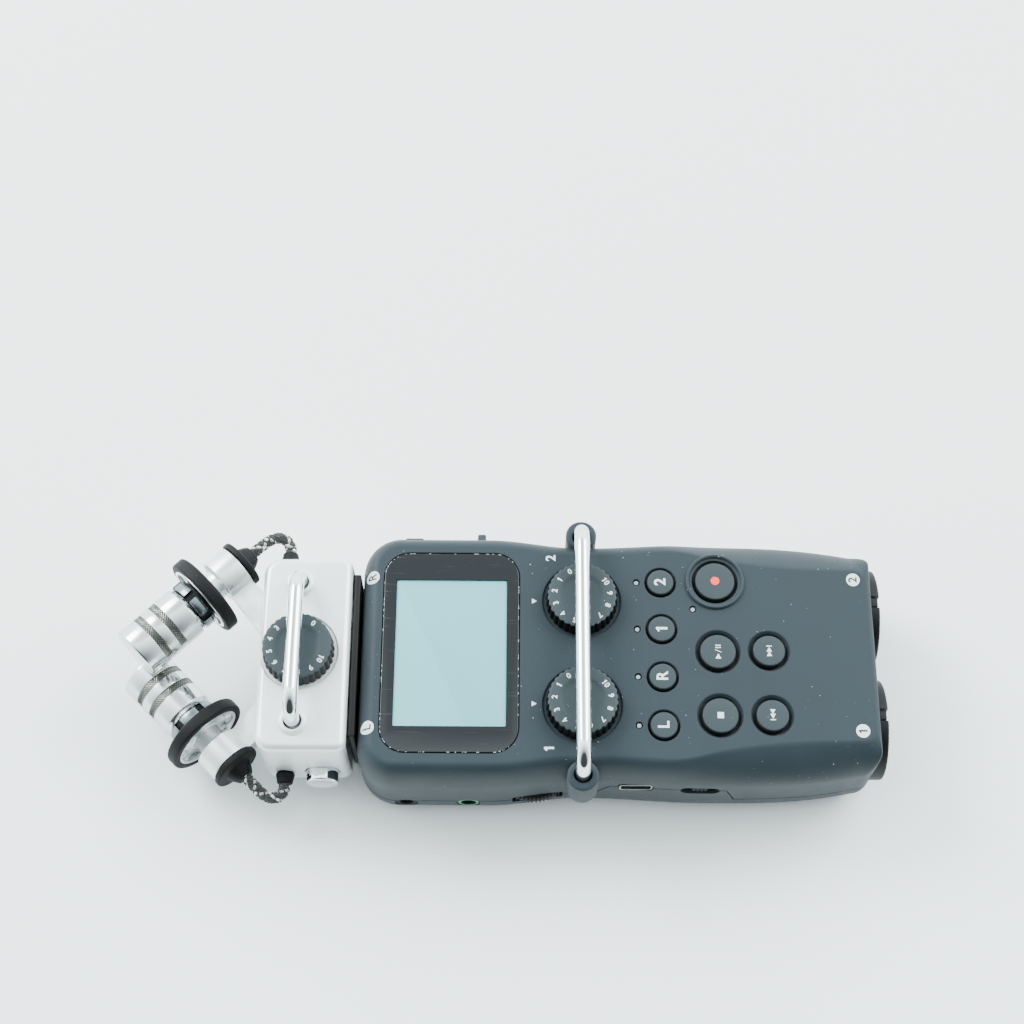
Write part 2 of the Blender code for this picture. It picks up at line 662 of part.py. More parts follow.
def make_dial(name, place, base_z, mats):
    """A level dial with a shallow dish on top and its shaft below; base_z is the floor of its well."""
    bottom = base_z + GAP
    top = base_z + DIAL_WELL_DEPTH + DIAL_HEIGHT
    profile = [(0, top - 0.3 * MM), (5.0 * MM, top - 0.3 * MM), (5.5 * MM, top), (DIAL_RADIUS - 0.3 * MM, top),
               (DIAL_RADIUS, top - 0.3 * MM), (DIAL_RADIUS + 0.4 * MM, bottom), (SHAFT_RADIUS, bottom),
               (SHAFT_RADIUS, bottom - 5 * MM), (0, bottom - 5 * MM)]
    return turned(name, profile, mats["dial"], place)


def make_button(name, x, y, cap, hole, top, material):
    """A round key: cap, flange under the cover and plunger."""
    flange = hole + 0.4 * MM
    upper = -WALL - GAP
    profile = [(0, top), (cap - 0.3 * MM, top), (cap, top - 0.3 * MM), (cap, upper), (flange, upper),
               (flange, upper - 0.9 * MM), (PLUNGER_RADIUS, upper - 0.9 * MM), (PLUNGER_RADIUS, PLUNGER_END_Z),
               (0, PLUNGER_END_Z)]
    return turned(name, profile, material, (x, y, 0), sides=16)


def button_places():
    """x and y of each key on the front panel."""
    places = [(TRACK_X, y) for y in track_ys()] + [RECORD_PLACE]
    return places + [(x, y) for name, x, y, cap in TRANSPORT]


def make_front_controls(mats):
    for name, side in (("input_dial_1", -1), ("input_dial_2", 1)):
        make_dial(name, (DIAL_X, side * DIAL_Y, 0), -DIAL_WELL_DEPTH, mats)
    for letter, y in zip(("l", "r", "1", "2"), track_ys()):
        make_button("track_button_" + letter, TRACK_X, y, TRACK_CAP, TRACK_HOLE, 0.5 * MM, mats["dial"])
    make_button("record_button", *RECORD_PLACE, RECORD_CAP, RECORD_HOLE, 0.6 * MM, mats["dial"])
    for name, x, y, cap in TRANSPORT:
        make_button(name, x, y, cap, cap + TRANSPORT_MARGIN, 0.6 * MM, mats["dial"])
    half_y = track_ys()[-1] + 1.5 * MM
    top = -WALL - GAP
    low = (LAMP_X - 1 * MM, -half_y, top - 1.2 * MM)
    guide = block("track_light_guide", low, (LAMP_X + 1 * MM, half_y, top), mats["light"])
    for y in track_ys():
        join(guide, turned("lamp_post", disc(LAMP_RADIUS, -0.1 * MM, top - 0.5 * MM), None, (LAMP_X, y, 0),
                           cutter=True, sides=12))
    lamp = [(0, -0.1 * MM), (LAMP_RADIUS, -0.1 * MM), (LAMP_RADIUS, top), (1.4 * MM, top),
            (1.4 * MM, top - 1.2 * MM), (0, top - 1.2 * MM)]
    turned("record_led", lamp, mats["light"], (*RECORD_LAMP, 0), sides=12)


def make_board(mats):
    """The circuit board with its level pots, headphone pot and key switches."""
    low = (BODY_LEFT + 5 * MM, -BOARD_HALF_WIDTH, BOARD_TOP_Z - BOARD_THICK)
    board = block("main_board", low, (BOARD_END_X, BOARD_HALF_WIDTH, BOARD_TOP_Z), mats["board"])
    sunk = 0.4 * MM                     # how far the components' solids run into the board
    pot_top = -WALL - 0.5 * MM
    for side in (-1, 1):
        y = side * DIAL_Y
        low = (DIAL_X - 6.5 * MM, y - 6.5 * MM, BOARD_TOP_Z - sunk)
        join(board, block("level_pot", low, (DIAL_X + 6.5 * MM, y + 6.5 * MM, pot_top), cutter=True))
    for x, y in button_places():
        low = (x - 3 * MM, y - 3 * MM, BOARD_TOP_Z - sunk)
        top = PLUNGER_END_Z - BUTTON_TRAVEL - GAP
        join(board, block("key_switch", low, (x + 3 * MM, y + 3 * MM, top), cutter=True))
    x, y = WHEEL_PLACE
    low = (x - 3.5 * MM, y - 3.5 * MM, SPLIT_Z + WHEEL_THICK / 2 + 1.2 * MM)
    high = (x + 3.5 * MM, y + 3.5 * MM, BOARD_TOP_Z - BOARD_THICK + sunk)
    join(board, block("headphone_pot", low, high, cutter=True))
    for side in (-1, 1):
        bore = disc(SHAFT_RADIUS + GAP, 0, -6.3 * MM)
        cut(board, turned("pot_bore", bore, None, (DIAL_X, side * DIAL_Y, 0), cutter=True))
    bore = disc(1.8 * MM, SPLIT_Z + WHEEL_THICK / 2 + 6 * MM, SPLIT_Z)
    cut(board, turned("wheel_bore", bore, None, (x, y, 0), cutter=True, sides=16))


def arc_bar(x, leg_y, foot_z):
    """Centre line of a roll bar: two legs, two bends and a straight top."""
    points = [(x, -leg_y, foot_z)]
    centre_y = leg_y - BAR_BEND
    centre_z = BAR_AXIS_Z - BAR_BEND
    bend = [(centre_y + BAR_BEND * math.cos(math.radians(a)), centre_z + BAR_BEND * math.sin(math.radians(a)))
            for a in range(0, 91, 15)]
    points += [(x, -y, z) for y, z in bend]
    points += [(x, y, z) for y, z in reversed(bend)]
    points.append((x, leg_y, foot_z))
    return points


def make_near_side(mats):
    x, y = WHEEL_PLACE
    half = WHEEL_THICK / 2
    wheel = [(0, half + 5.5 * MM), (1.5 * MM, half + 5.5 * MM), (1.5 * MM, half), (WHEEL_RADIUS - 0.4 * MM, half),
             (WHEEL_RADIUS, half - 0.4 * MM), (WHEEL_RADIUS, 0.4 * MM - half), (WHEEL_RADIUS - 0.4 * MM, -half),
             (0, -half)]
    turned("volume_wheel", wheel, mats["black"], (x, y, SPLIT_Z), sides=32)
    for name, x in JACK_XS.items():
        material = mats["green"] if name == "phone_jack" else mats["black"]
        outer = -DISPLAY_HALF_WIDTH + 0.2 * MM
        low = (x - 4 * MM, outer + 2 * WALL - 0.5 * MM, JACK_Z - 3 * MM)
        jack = block(name, low, (x + 4 * MM, outer + 11 * MM, JACK_Z + 3 * MM), material)
        collar = disc(JACK_COLLAR, 0, -5 * MM)
        join(jack, turned(name + "_collar", collar, None, (x, outer, JACK_Z), (0, -1, 0), True, SMALL_ROUND))
        bore = disc(JACK_BORE, 1 * MM, -10 * MM)
        cut(jack, turned(name + "_bore", bore, None, (x, outer, JACK_Z), (0, -1, 0), True, SMALL_ROUND))
    x, z = USB_PLACE
    width, depth, height = USB_SIZE
    face = -half_width(x) + 0.4 * MM
    usb = block("usb_port", (x - width / 2, face, z - height / 2), (x + width / 2, face + depth, z + height / 2),
                mats["steel"])
    wall = 0.4 * MM
    cut(usb, block("usb_mouth", (x - width / 2 + wall, face - 1 * MM, z - height / 2 + wall),
                   (x + width / 2 - wall, face + depth - 1 * MM, z + height / 2 - wall), cutter=True))
    x, z = SWITCH_PLACE
    inner = -half_width(x) + WALL + 0.8 * MM
    reach = 6.5 * MM
    switch = block("power_switch", (x - reach, inner, z - 3.1 * MM), (x + reach, inner + 1 * MM, z + 3.1 * MM),
                   mats["black"])
    knob = rounded_rectangle(4.2 * MM, 3.6 * MM, 1.7 * MM)
    outline = [(x + u, z + v) for u, v in knob]
    join(switch, upright("switch_knob", outline, -half_width(x) + 0.3 * MM, inner + 0.5 * MM))


def make_far_side(mats):
    inner = DISPLAY_HALF_WIDTH - WALL - 1.9 * MM
    key = block("menu_button", (MENU_X - 2.4 * MM, inner, FAR_KEY_Z - 1.3 * MM),
                (MENU_X + 2.4 * MM, DISPLAY_HALF_WIDTH + 0.6 * MM, FAR_KEY_Z + 1.3 * MM), mats["dial"])
    join(key, block("menu_flange", (MENU_X - 3.3 * MM, inner - 1 * MM, FAR_KEY_Z - 2.2 * MM),
                    (MENU_X + 3.3 * MM, inner + 0.1 * MM, FAR_KEY_Z + 2.2 * MM), cutter=True))
    inner = half_width(SELECT_X + 4.9 * MM) - WALL - 1.9 * MM
    lever = block("select_lever", (SELECT_X - 1.1 * MM, inner, FAR_KEY_Z - 1.3 * MM),
                  (SELECT_X + 1.1 * MM, DISPLAY_HALF_WIDTH + 1.8 * MM, FAR_KEY_Z + 1.3 * MM), mats["dial"])
    join(lever, block("select_slide", (SELECT_X - 4.9 * MM, inner - 1 * MM, FAR_KEY_Z - 2.2 * MM),
                      (SELECT_X + 4.9 * MM, inner + 0.1 * MM, FAR_KEY_Z + 2.2 * MM), cutter=True))
    width, thick, height = CARD_COVER_SIZE
    outer = front_loft("card_cover", 0.0, SPLIT_Z, mats["soft_black"])
    cut(outer, front_loft("card_cover_inner", thick, SPLIT_Z - 5 * MM, cutter=True))
    window = block("card_cover_edge", (CARD_X - width / 2, BOARD_HALF_WIDTH, CARD_COVER_Z - height / 2),
                   (CARD_X + width / 2, DISPLAY_HALF_WIDTH + 5 * MM, CARD_COVER_Z + height / 2), cutter=True)
    boolean(outer, "INTERSECT", [window])
    face = WAIST_HALF_WIDTH - thick - 0.6 * MM
    card_top = BOARD_TOP_Z - BOARD_THICK - 1.6 * MM
    width, depth, thick = CARD_SIZE
    block("memory_card", (CARD_X - width / 2, face - depth, card_top - thick), (CARD_X + width / 2, face, card_top),
          mats["black"])


def make_sockets(mats):
    outer = SOCKET_REACH
    inner = -SOCKET_DEPTH + SOCKET_REACH
    shelf = -1.9 * MM
    for name, side in (("1", -1), ("2", 1)):
        place = (BODY_RIGHT, side * SOCKET_Y, SOCKET_Z)
        profile = [(0, -7 * MM), (9.6 * MM, -7 * MM), (9.6 * MM, outer), (SOCKET_COLLAR - 0.5 * MM, outer),
                   (SOCKET_COLLAR, outer - 0.5 * MM), (SOCKET_COLLAR, shelf), (11.0 * MM, shelf),
                   (11.0 * MM, inner), (0, inner)]
        socket = turned("combo_jack_" + name, profile, mats["black"], place, (1, 0, 0))
        bore = disc(3.3 * MM, 0, -15 * MM)
        cut(socket, turned("plug_bore", bore, None, place, (1, 0, 0), True, SMALL_ROUND))
        for angle in (90, 210, 330):
            y = place[1] + 6.3 * MM * math.cos(math.radians(angle))
            z = place[2] - 6.3 * MM * math.sin(math.radians(angle))
            pin = disc(1.3 * MM, 0, -13 * MM)
            cut(socket, turned("pin_hole", pin, None, (BODY_RIGHT, y, z), (1, 0, 0), True, 12))
        half = TAB_WIDTH / 2 + GAP
        low = (BODY_RIGHT - 3.9 * MM, place[1] - half, SOCKET_Z + 9 * MM)
        cut(socket, block("tab_notch", low, (BODY_RIGHT + 5 * MM, place[1] + half, 0.0), cutter=True))
        half = TAB_WIDTH / 2
        low = (BODY_RIGHT - 1.9 * MM, place[1] - half, SOCKET_Z + 9.9 * MM)
        high = (BODY_RIGHT + outer - 0.4 * MM, place[1] + half, SOCKET_Z + SOCKET_COLLAR - 0.5 * MM)
        block("release_tab_" + name, low, high, mats["black"])


def make_power(mats):
    floor = -BODY_HEIGHT
    bay_right = BAY_LEFT + BATTERY_LENGTH + 6.0 * MM
    half_y = 2 * BATTERY_RADIUS + 2.0 * MM
    bay_top = floor + 2 * BATTERY_RADIUS + 3.0 * MM
    wall = 1.0 * MM
    bay = block("battery_bay", (BAY_LEFT, -half_y, floor + WALL + GAP), (bay_right, half_y, bay_top), mats["black"])
    cut(bay, block("bay_hollow", (BAY_LEFT + wall, -half_y + wall, floor), (bay_right - wall, half_y - wall,
                                                                            bay_top - wall), cutter=True))
    axis_z = floor + BATTERY_RADIUS + 1.7 * MM
    right = bay_right - wall - GAP
    for name, side in (("1", -1), ("2", 1)):
        y = side * (BATTERY_RADIUS + GAP / 2)
        profile = [(0, 0), (2.6 * MM, 0), (2.6 * MM, -1 * MM), (BATTERY_RADIUS - 0.5 * MM, -1 * MM),
                   (BATTERY_RADIUS, -1.5 * MM), (BATTERY_RADIUS, -BATTERY_LENGTH), (0, -BATTERY_LENGTH)]
        turned("battery_" + name, profile, mats["battery"], (right, y, axis_z), (1, 0, 0), sides=16)
        end = right - BATTERY_LENGTH - GAP
        start = BAY_LEFT + wall + GAP
        tube("battery_spring_" + name, coil(start, end, y, axis_z), 0.6 * MM, mats["steel"])
    low = (BAY_LEFT + 0.5 * MM, -half_y + 0.2 * MM, floor)
    high = (bay_right - GAP, half_y - 0.2 * MM, floor + DOOR_THICK)
    block("battery_door", low, high, mats["soft_black"])


def coil(start, end, y, z):
    """A conical contact spring between two planes of x."""
    turns = 2
    points_a_turn = 8
    wire = 0.3 * MM
    points = []
    for i in range(turns * points_a_turn + 1):
        share = i / (turns * points_a_turn)
        angle = 2 * math.pi * turns * share
        radius = (3.6 - 1.6 * share) * MM
        x = start + wire + (end - start - 2 * wire) * share
        points.append((x, y + radius * math.cos(angle), z + radius * math.sin(angle)))
    return points


def make_rear_fittings(mats):
    floor = -BODY_HEIGHT
    bush = [(0, 7.4 * MM), (4.8 * MM, 7.4 * MM), (4.8 * MM, WALL + 2 * MM), (6.4 * MM, WALL + 2 * MM),
            (6.4 * MM, WALL + GAP), (4.8 * MM, WALL + GAP), (4.8 * MM, 0), (3.2 * MM, 0), (3.2 * MM, 6 * MM),
            (0, 6 * MM)]
    turned("tripod_bush", bush, mats["steel"], (BUSH_X, 0, floor))
    cone = [(0, 3.2 * MM), (5 * MM, 3.2 * MM), (8 * MM, 1.6 * MM), (8 * MM, 0), (0, 0)]
    turned("speaker", cone, mats["black"], (*SPEAKER_PLACE, floor + WALL + GAP), sides=16)
    x_low = BODY_LEFT + 2 * WALL
    half_y = TONGUE_SIZE[1] / 2 + 2 * MM
    half_z = TONGUE_SIZE[2] / 2 + 1.8 * MM
    length = TONGUE_SIZE[0] - 2 * MM
    socket = block("capsule_socket", (x_low, -half_y, TONGUE_Z - half_z), (x_low + length, half_y, TONGUE_Z + half_z),
                   mats["black"])
    half_y = TONGUE_SIZE[1] / 2 + GAP
    half_z = TONGUE_SIZE[2] / 2 + GAP
    cut(socket, block("tongue_space", (x_low - 1 * MM, -half_y, TONGUE_Z - half_z),
                      (BODY_LEFT + TONGUE_SIZE[0], half_y, TONGUE_Z + half_z), cutter=True))


# ---------------------------------------------------------------- capsule

def shell_ring(inset, z):
    """The capsule housing's outline, with larger corners at the microphone end."""
    left = SHELL_LEFT + inset
    right = SHELL_RIGHT - inset
    half = SHELL_HALF_WIDTH - inset
    points = []
    corners = ((right, half, 2.5 * MM, 0), (left, half, 4.5 * MM, 90), (left, -half, 4.5 * MM, 180),
               (right, -half, 2.5 * MM, 270))
    for x, y, radius, start in corners:
        arc = max(radius - inset, 0.4 * MM)
        centre_x = x - math.copysign(arc, x - SHELL_CENTRE_X)
        centre_y = y - math.copysign(arc, y)
        for i in range(5):
            angle = math.radians(start + 22.5 * i)
            points.append((centre_x + arc * math.cos(angle), centre_y + arc * math.sin(angle), z))
    return points


def make_capsule_shell(mats):
    top = SHELL_TOP
    floor = SHELL_TOP - SHELL_HEIGHT
    rounding = quarter_round(SHELL_ROUNDING, SHELL_ROUNDING, 4)
    rings = [shell_ring(inset, top - depth) for inset, depth in rounding]
    rings += [shell_ring(inset, floor + depth) for inset, depth in reversed(rounding)]
    shell = loft("capsule_shell", rings, mats["satin"])
    wall = SHELL_WALL
    half = SHELL_HALF_WIDTH - wall
    low = (SHELL_LEFT + wall, -half, floor + wall)
    cut(shell, block("shell_hollow", low, (SHELL_RIGHT + 5 * MM, half, top - wall), cutter=True))
    for side in (-1, 1):
        place = (CAPSULE_BAR_X, side * CAPSULE_BAR_LEG_Y, top)
        boss = [(0, 1.2 * MM), (2.9 * MM, 1.2 * MM), (3.4 * MM, 0.8 * MM), (3.8 * MM, 0), (3.8 * MM, -7 * MM),
                (0, -7 * MM)]
        join(shell, turned("grommet_boss", boss, None, place, cutter=True, sides=16))
        hole = disc(BAR_HOLE_RADIUS, 3 * MM, -6 * MM)
        cut(shell, turned("grommet_hole", hole, None, place, cutter=True, sides=SMALL_ROUND))
        x, z = RELEASE_PLACE
        hole = disc(RELEASE_RADIUS + GAP, 3 * MM, -4 * MM)
        place = (x, side * SHELL_HALF_WIDTH, z)
        cut(shell, turned("release_hole", hole, None, place, (0, side, 0), True, 16))
    for name, side in SIDE.items():
        place = (GLAND_X, side * SHELL_HALF_WIDTH, MIC_Z[name] - GLAND_DROP)
        hole = disc(1.9 * MM + GAP, 3 * MM, -4 * MM)
        cut(shell, turned("gland_hole", hole, None, place, (0, side, 0), True, 16))
    well = [(0, 1 * MM), (DIAL_WELL_RADIUS, 1 * MM), (DIAL_WELL_RADIUS, -DIAL_WELL_DEPTH),
            (SHAFT_RADIUS + 0.4 * MM, -DIAL_WELL_DEPTH), (SHAFT_RADIUS + 0.4 * MM, -4 * MM), (0, -4 * MM)]
    cut(shell, turned("capsule_dial_well", well, None, (CAPSULE_DIAL_X, 0, top), cutter=True))


def make_capsule_fittings(mats):
    make_dial("capsule_dial", (CAPSULE_DIAL_X, 0, 0), SHELL_TOP - DIAL_WELL_DEPTH, mats)
    bar = arc_bar(CAPSULE_BAR_X, CAPSULE_BAR_LEG_Y, SHELL_TOP - 5.5 * MM)
    tube("capsule_roll_bar", bar, BAR_DIAMETER, mats["chrome"])
    x, z = RELEASE_PLACE
    for name, side in SIDE.items():
        outer = RELEASE_REACH
        button = [(0, outer), (RELEASE_RADIUS - 0.5 * MM, outer), (RELEASE_RADIUS, outer - 0.5 * MM),
                  (RELEASE_RADIUS, -SHELL_WALL - GAP), (RELEASE_RADIUS + 0.7 * MM, -SHELL_WALL - GAP),
                  (RELEASE_RADIUS + 0.7 * MM, -SHELL_WALL - 1.3 * MM), (0, -SHELL_WALL - 1.3 * MM)]
        turned("release_button_" + name, button, mats["chrome"], (x, side * SHELL_HALF_WIDTH, z), (0, side, 0),
               sides=16)
        gland = [(0, 2.9 * MM), (2.0 * MM, 2.9 * MM), (2.55 * MM, GAP), (1.9 * MM, GAP), (1.9 * MM, -3 * MM),
                 (0, -3 * MM)]
        place = (GLAND_X, side * SHELL_HALF_WIDTH, MIC_Z[name] - GLAND_DROP)
        turned("cord_gland_" + name, gland, mats["rubber"], place, (0, side, 0), sides=16)
    base_right = BODY_LEFT - GAP
    low = (base_right - BASE_THICK, -BASE_HALF_WIDTH, SHELL_TOP - SHELL_HEIGHT + 1.0 * MM)
    base = block("capsule_base", low, (base_right, BASE_HALF_WIDTH, SHELL_TOP - 1.7 * MM), mats["black"])
    length, width, height = TONGUE_SIZE
    low = (base_right - 0.5 * MM, -width / 2, TONGUE_Z - height / 2)
    join(base, block("tongue", low, (BODY_LEFT + length - GAP, width / 2, TONGUE_Z + height / 2), cutter=True))
    board_z = SHELL_TOP - 9.5 * MM
    low = (SHELL_LEFT + SHELL_WALL + 1 * MM, -20 * MM, board_z - 1.6 * MM)
    board = block("capsule_board", low, (SHELL_RIGHT - 1 * MM, 20 * MM, board_z), mats["board"])
    low = (CAPSULE_DIAL_X - 6.5 * MM, -6.5 * MM, board_z - 0.4 * MM)
    high = (CAPSULE_DIAL_X + 6.5 * MM, 6.5 * MM, SHELL_TOP - SHELL_WALL - 0.5 * MM)
    join(board, block("capsule_pot", low, high, cutter=True))
    bore = disc(SHAFT_RADIUS + GAP, 0, -6.8 * MM)
    cut(board, turned("capsule_pot_bore", bore, None, (CAPSULE_DIAL_X, 0, 0), cutter=True))


# ---------------------------------------------------------------- microphones

def mic_point(name, along, across=0.0, up=0.0):
    """A point in a microphone's own directions: along its axis to the tip, across it towards +X, and up."""
    side = SIDE[name]
    axis = Vector((-1.0, -side, 0.0)).normalized()
    sideways = Vector((1.0, -side, 0.0)).normalized()
    centre = Vector((RING_X, side * RING_Y, MIC_Z[name]))
    return centre + axis * along + sideways * across + Vector((0.0, 0.0, up))


def make_microphone(name, mats):
    side = SIDE[name]
    axis = (-1.0, -side, 0.0)
    centre = mic_point(name, 0.0)

    outer = RING_RADIUS
    inner = RING_RADIUS - RING_WALL
    half = RING_THICK / 2
    ring = [(inner, half), (outer - 0.5 * MM, half), (outer, half - 0.5 * MM), (outer, 0.5 * MM - half),
            (outer - 0.5 * MM, -half), (inner, -half)]
    turned("shock_ring_" + name, ring, mats["rubber"], centre, axis)

    body = [(0, MIC_END), (MIC_RADIUS - 1.0 * MM, MIC_END), (MIC_RADIUS - 0.3 * MM, MIC_END - 0.3 * MM),
            (MIC_RADIUS, MIC_END - 1.0 * MM), (MIC_RADIUS, MIC_START + 1.2 * MM), (MIC_RADIUS - 0.9 * MM, MIC_START),
            (0, MIC_START)]
    turned("mic_" + name, body, mats["aluminium"], centre, axis)

    neck = [(0, MIC_START - GAP), (6.0 * MM, MIC_START - GAP), (6.0 * MM, half + 1.2 * MM), (4.8 * MM, half + 0.4 * MM),
            (4.8 * MM, half - 1.0 * MM), (0, half - 1.0 * MM)]
    arm = turned("mic_arm_" + name, neck, mats["satin"], centre, axis)
    rim = inner - GAP
    carrier = [(0, half - 0.6 * MM), (rim, half - 0.6 * MM), (rim, 0.6 * MM - half), (0, 0.6 * MM - half)]
    join(arm, turned("carrier", carrier, None, centre, axis, True))
    for i in range(4):
        angle = math.radians(45 + 90 * i)
        reach = 6.9 * MM
        place = mic_point(name, 0.0, reach * math.cos(angle), reach * math.sin(angle))
        cut(arm, turned("carrier_window", disc(1.7 * MM, 5 * MM, -5 * MM), None, place, axis, True, 16))
    holder = [(0, 0), (4.0 * MM, 0), (4.0 * MM, -4.6 * MM), (HOLDER_RADIUS, -4.9 * MM), (HOLDER_RADIUS, HOLDER_END),
              (0, HOLDER_END)]
    join(arm, turned("holder", holder, None, centre, axis, True))
    join(arm, arm_plate(name))

    start = HOLDER_END - GAP
    cap = [(0, start), (CAP_RADIUS, start), (CAP_RADIUS, start - 1.2 * MM), (CAP_RADIUS - 0.4 * MM, start - 1.6 * MM),
           (3.3 * MM, start - 1.6 * MM), (3.0 * MM, start - 3.4 * MM), (2.2 * MM, start - 4.8 * MM),
           (0, start - 4.8 * MM)]
    turned("mic_end_cap_" + name, cap, mats["rubber"], centre, axis, sides=16)


def arm_plate(name):
    """The web that carries a microphone's holder, from the holder to the capsule's wall."""
    side = SIDE[name]
    low = {"right": -2.0 * MM, "left": -4.0 * MM}[name]
    high = 1.0 * MM
    wall_x = SHELL_LEFT - GAP
    corner = mic_point(name, -4.9 * MM, 3.0 * MM)
    outer = mic_point(name, HOLDER_END + 0.3 * MM, 3.0 * MM)
    outline = [(wall_x, side * 5.5 * MM), (wall_x, side * 17.0 * MM), (outer.x, outer.y), (corner.x, corner.y)]
    return plate("arm_web_" + name, outline, low, high, None, (0, 0, MIC_Z[name]), cutter=True)


def make_cord(name, mats):
    """The short braided lead from a microphone's end cap to its gland on the capsule."""
    side = SIDE[name]
    start = mic_point(name, HOLDER_END - 2 * GAP - 4.8 * MM)
    end_y = SHELL_HALF_WIDTH + 2.9 * MM + 2 * GAP
    drop = GLAND_DROP
    route = [(start.x, abs(start.y), 0.0), (-78.7 * MM, 29.4 * MM, 0.0), (-77.2 * MM, 30.9 * MM, 0.1),
             (-75.4 * MM, 32.4 * MM, 0.3), (-73.2 * MM, 33.1 * MM, 0.5), (-71.4 * MM, 32.4 * MM, 0.75),
             (-70.5 * MM, 30.9 * MM, 0.95), (GLAND_X, end_y, 1.0)]
    points = [(x, side * y, MIC_Z[name] - drop * share) for x, y, share in route]
    tube("mic_cord_" + name, smooth_route(points), CORD_DIAMETER, mats["braid"])


def smooth_route(points, steps=2):
    """Points on a Catmull-Rom curve through the given ones."""
    vectors = [Vector(p) for p in points]
    vectors = [2 * vectors[0] - vectors[1]] + vectors + [2 * vectors[-1] - vectors[-2]]
    result = []
    for a, b, c, d in zip(vectors, vectors[1:], vectors[2:], vectors[3:]):
        for i in range(steps):
            t = i / steps
            result.append(0.5 * (2 * b + (c - a) * t + (2 * a - 5 * b + 4 * c - d) * t ** 2
                                 + (3 * b - a - 3 * c + d) * t ** 3))
    result.append(vectors[-2])
    return [tuple(v) for v in result]


# ---------------------------------------------------------------- assembly

def settle_origin():
    """Move the root empty so that the origin lies under the middle of the pieces' bounding box."""
    bpy.context.view_layer.update()
    graph = bpy.context.evaluated_depsgraph_get()
    corners = []
    for obj in PARTS.objects:
        evaluated = obj.evaluated_get(graph)
        mesh = evaluated.to_mesh()
        corners += [evaluated.matrix_world @ vertex.co for vertex in mesh.vertices]
        evaluated.to_mesh_clear()
    low = Vector([min(point[i] for point in corners) for i in range(3)])
    high = Vector([max(point[i] for point in corners) for i in range(3)])
    middle = (low + high) / 2
    ROOT.location = (-middle.x, -middle.y, -low.z)
    bpy.context.view_layer.update()


def build():
    clear_scene()
    make_collections()
    mats = make_materials()
    make_covers(mats)
    make_display(mats)
    make_front_controls(mats)
    make_board(mats)
    tube("roll_bar", arc_bar(DIAL_X, BAR_LEG_Y, -9.0 * MM), BAR_DIAMETER, mats["chrome"])
    make_near_side(mats)
    make_far_side(mats)
    make_sockets(mats)
    make_power(mats)
    make_rear_fittings(mats)
    make_capsule_shell(mats)
    make_capsule_fittings(mats)
    for name in SIDE:
        make_microphone(name, mats)
        make_cord(name, mats)
    settle_origin()


build()
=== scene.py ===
"""Looks for the portable field recorder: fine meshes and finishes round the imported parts."""

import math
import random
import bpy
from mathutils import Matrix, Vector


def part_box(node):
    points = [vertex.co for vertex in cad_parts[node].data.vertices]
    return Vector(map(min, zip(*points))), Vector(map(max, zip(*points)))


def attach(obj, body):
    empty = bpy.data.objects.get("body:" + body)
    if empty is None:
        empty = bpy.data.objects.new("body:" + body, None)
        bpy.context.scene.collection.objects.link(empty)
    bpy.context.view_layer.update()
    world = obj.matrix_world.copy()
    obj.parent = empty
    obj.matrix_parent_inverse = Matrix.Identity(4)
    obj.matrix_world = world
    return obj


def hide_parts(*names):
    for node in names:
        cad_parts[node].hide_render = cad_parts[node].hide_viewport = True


bl_info = {
    "name": "Field Recorder",
    "version": (1, 0, 0),
    "blender": (4, 5, 0),
    "location": "3D Viewport > Sidebar > Recorder",
    "description": "Builds the visible surfaces of a portable field recorder round its fixed frame",
    "category": "Object",
}

import bmesh
import bpy
from bpy.props import FloatProperty, FloatVectorProperty, IntProperty, PointerProperty
from mathutils import Matrix, Vector
from mathutils.bvhtree import BVHTree

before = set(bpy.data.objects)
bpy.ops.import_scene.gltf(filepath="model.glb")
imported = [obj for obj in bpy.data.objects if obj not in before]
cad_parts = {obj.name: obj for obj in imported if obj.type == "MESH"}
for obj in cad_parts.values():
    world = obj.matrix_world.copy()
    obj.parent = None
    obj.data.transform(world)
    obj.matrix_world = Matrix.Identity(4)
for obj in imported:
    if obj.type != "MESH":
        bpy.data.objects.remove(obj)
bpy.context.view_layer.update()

# The pieces are drawn in millimetres from the front panel: z = 0 on its face, +X to the plug sockets.
PANEL_LEFT = -50.9                              # panel's end beside the capsule
SPLIT_Z = -20.0                                 # parting line of the two covers
ROUNDING = (4.4, 9.0)                           # of the front's sides, across and down
END_ROUNDING = (1.3, 1.8)                       # of its socket end
GRIP_START = 22.0                               # the grips' creases fade in between these two
GRIP_FULL = 40.0
GRIP_ANGLE = math.radians(35)                   # where the grips' rounding starts on its ellipse
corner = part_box("front_cover")[0]
OFFSET = Vector((corner[0] - PANEL_LEFT / 1000, 0.0, corner[2] - SPLIT_Z / 1000))
PLACE = Matrix.Translation(OFFSET) @ Matrix.Scale(0.001, 4)

BODY_RIGHT = 80.9
BODY_FLOOR = -32.0
WALL = 2.2
BACK_ROUNDING = (7.0, 9.5)                      # of the back's edges, across and down
LEFT_CORNER = 10.0                              # corner radius at the capsule's end, seen from the front
RIGHT_CORNER = 4.5
SHOULDER_X = -18.0                              # the width starts to shrink here
WAIST_X = 6.0
HIP_START = 38.0
HIP_END = 44.0
DISPLAY_HALF_WIDTH = 33.4
WAIST_HALF_WIDTH = 31.2
HIP_HALF_WIDTH = 32.4
END_TAPER = 3.9                                 # lost from each side between the hips and the sockets
PORT_PANEL = (8.6, 13.2, 43.0, 45.4)            # x of the rear cover's raised panel: foot, top, top, foot
PORT_PANEL_TOP = -12.5
NEAR_WALL = Matrix.Rotation(math.radians(90), 4, "X")    # stands a flat outline up as x and z
WINDOW = (-27.5, 0.25, 34.8, 53.7, 6.5)         # centre x, y, width, height, corner
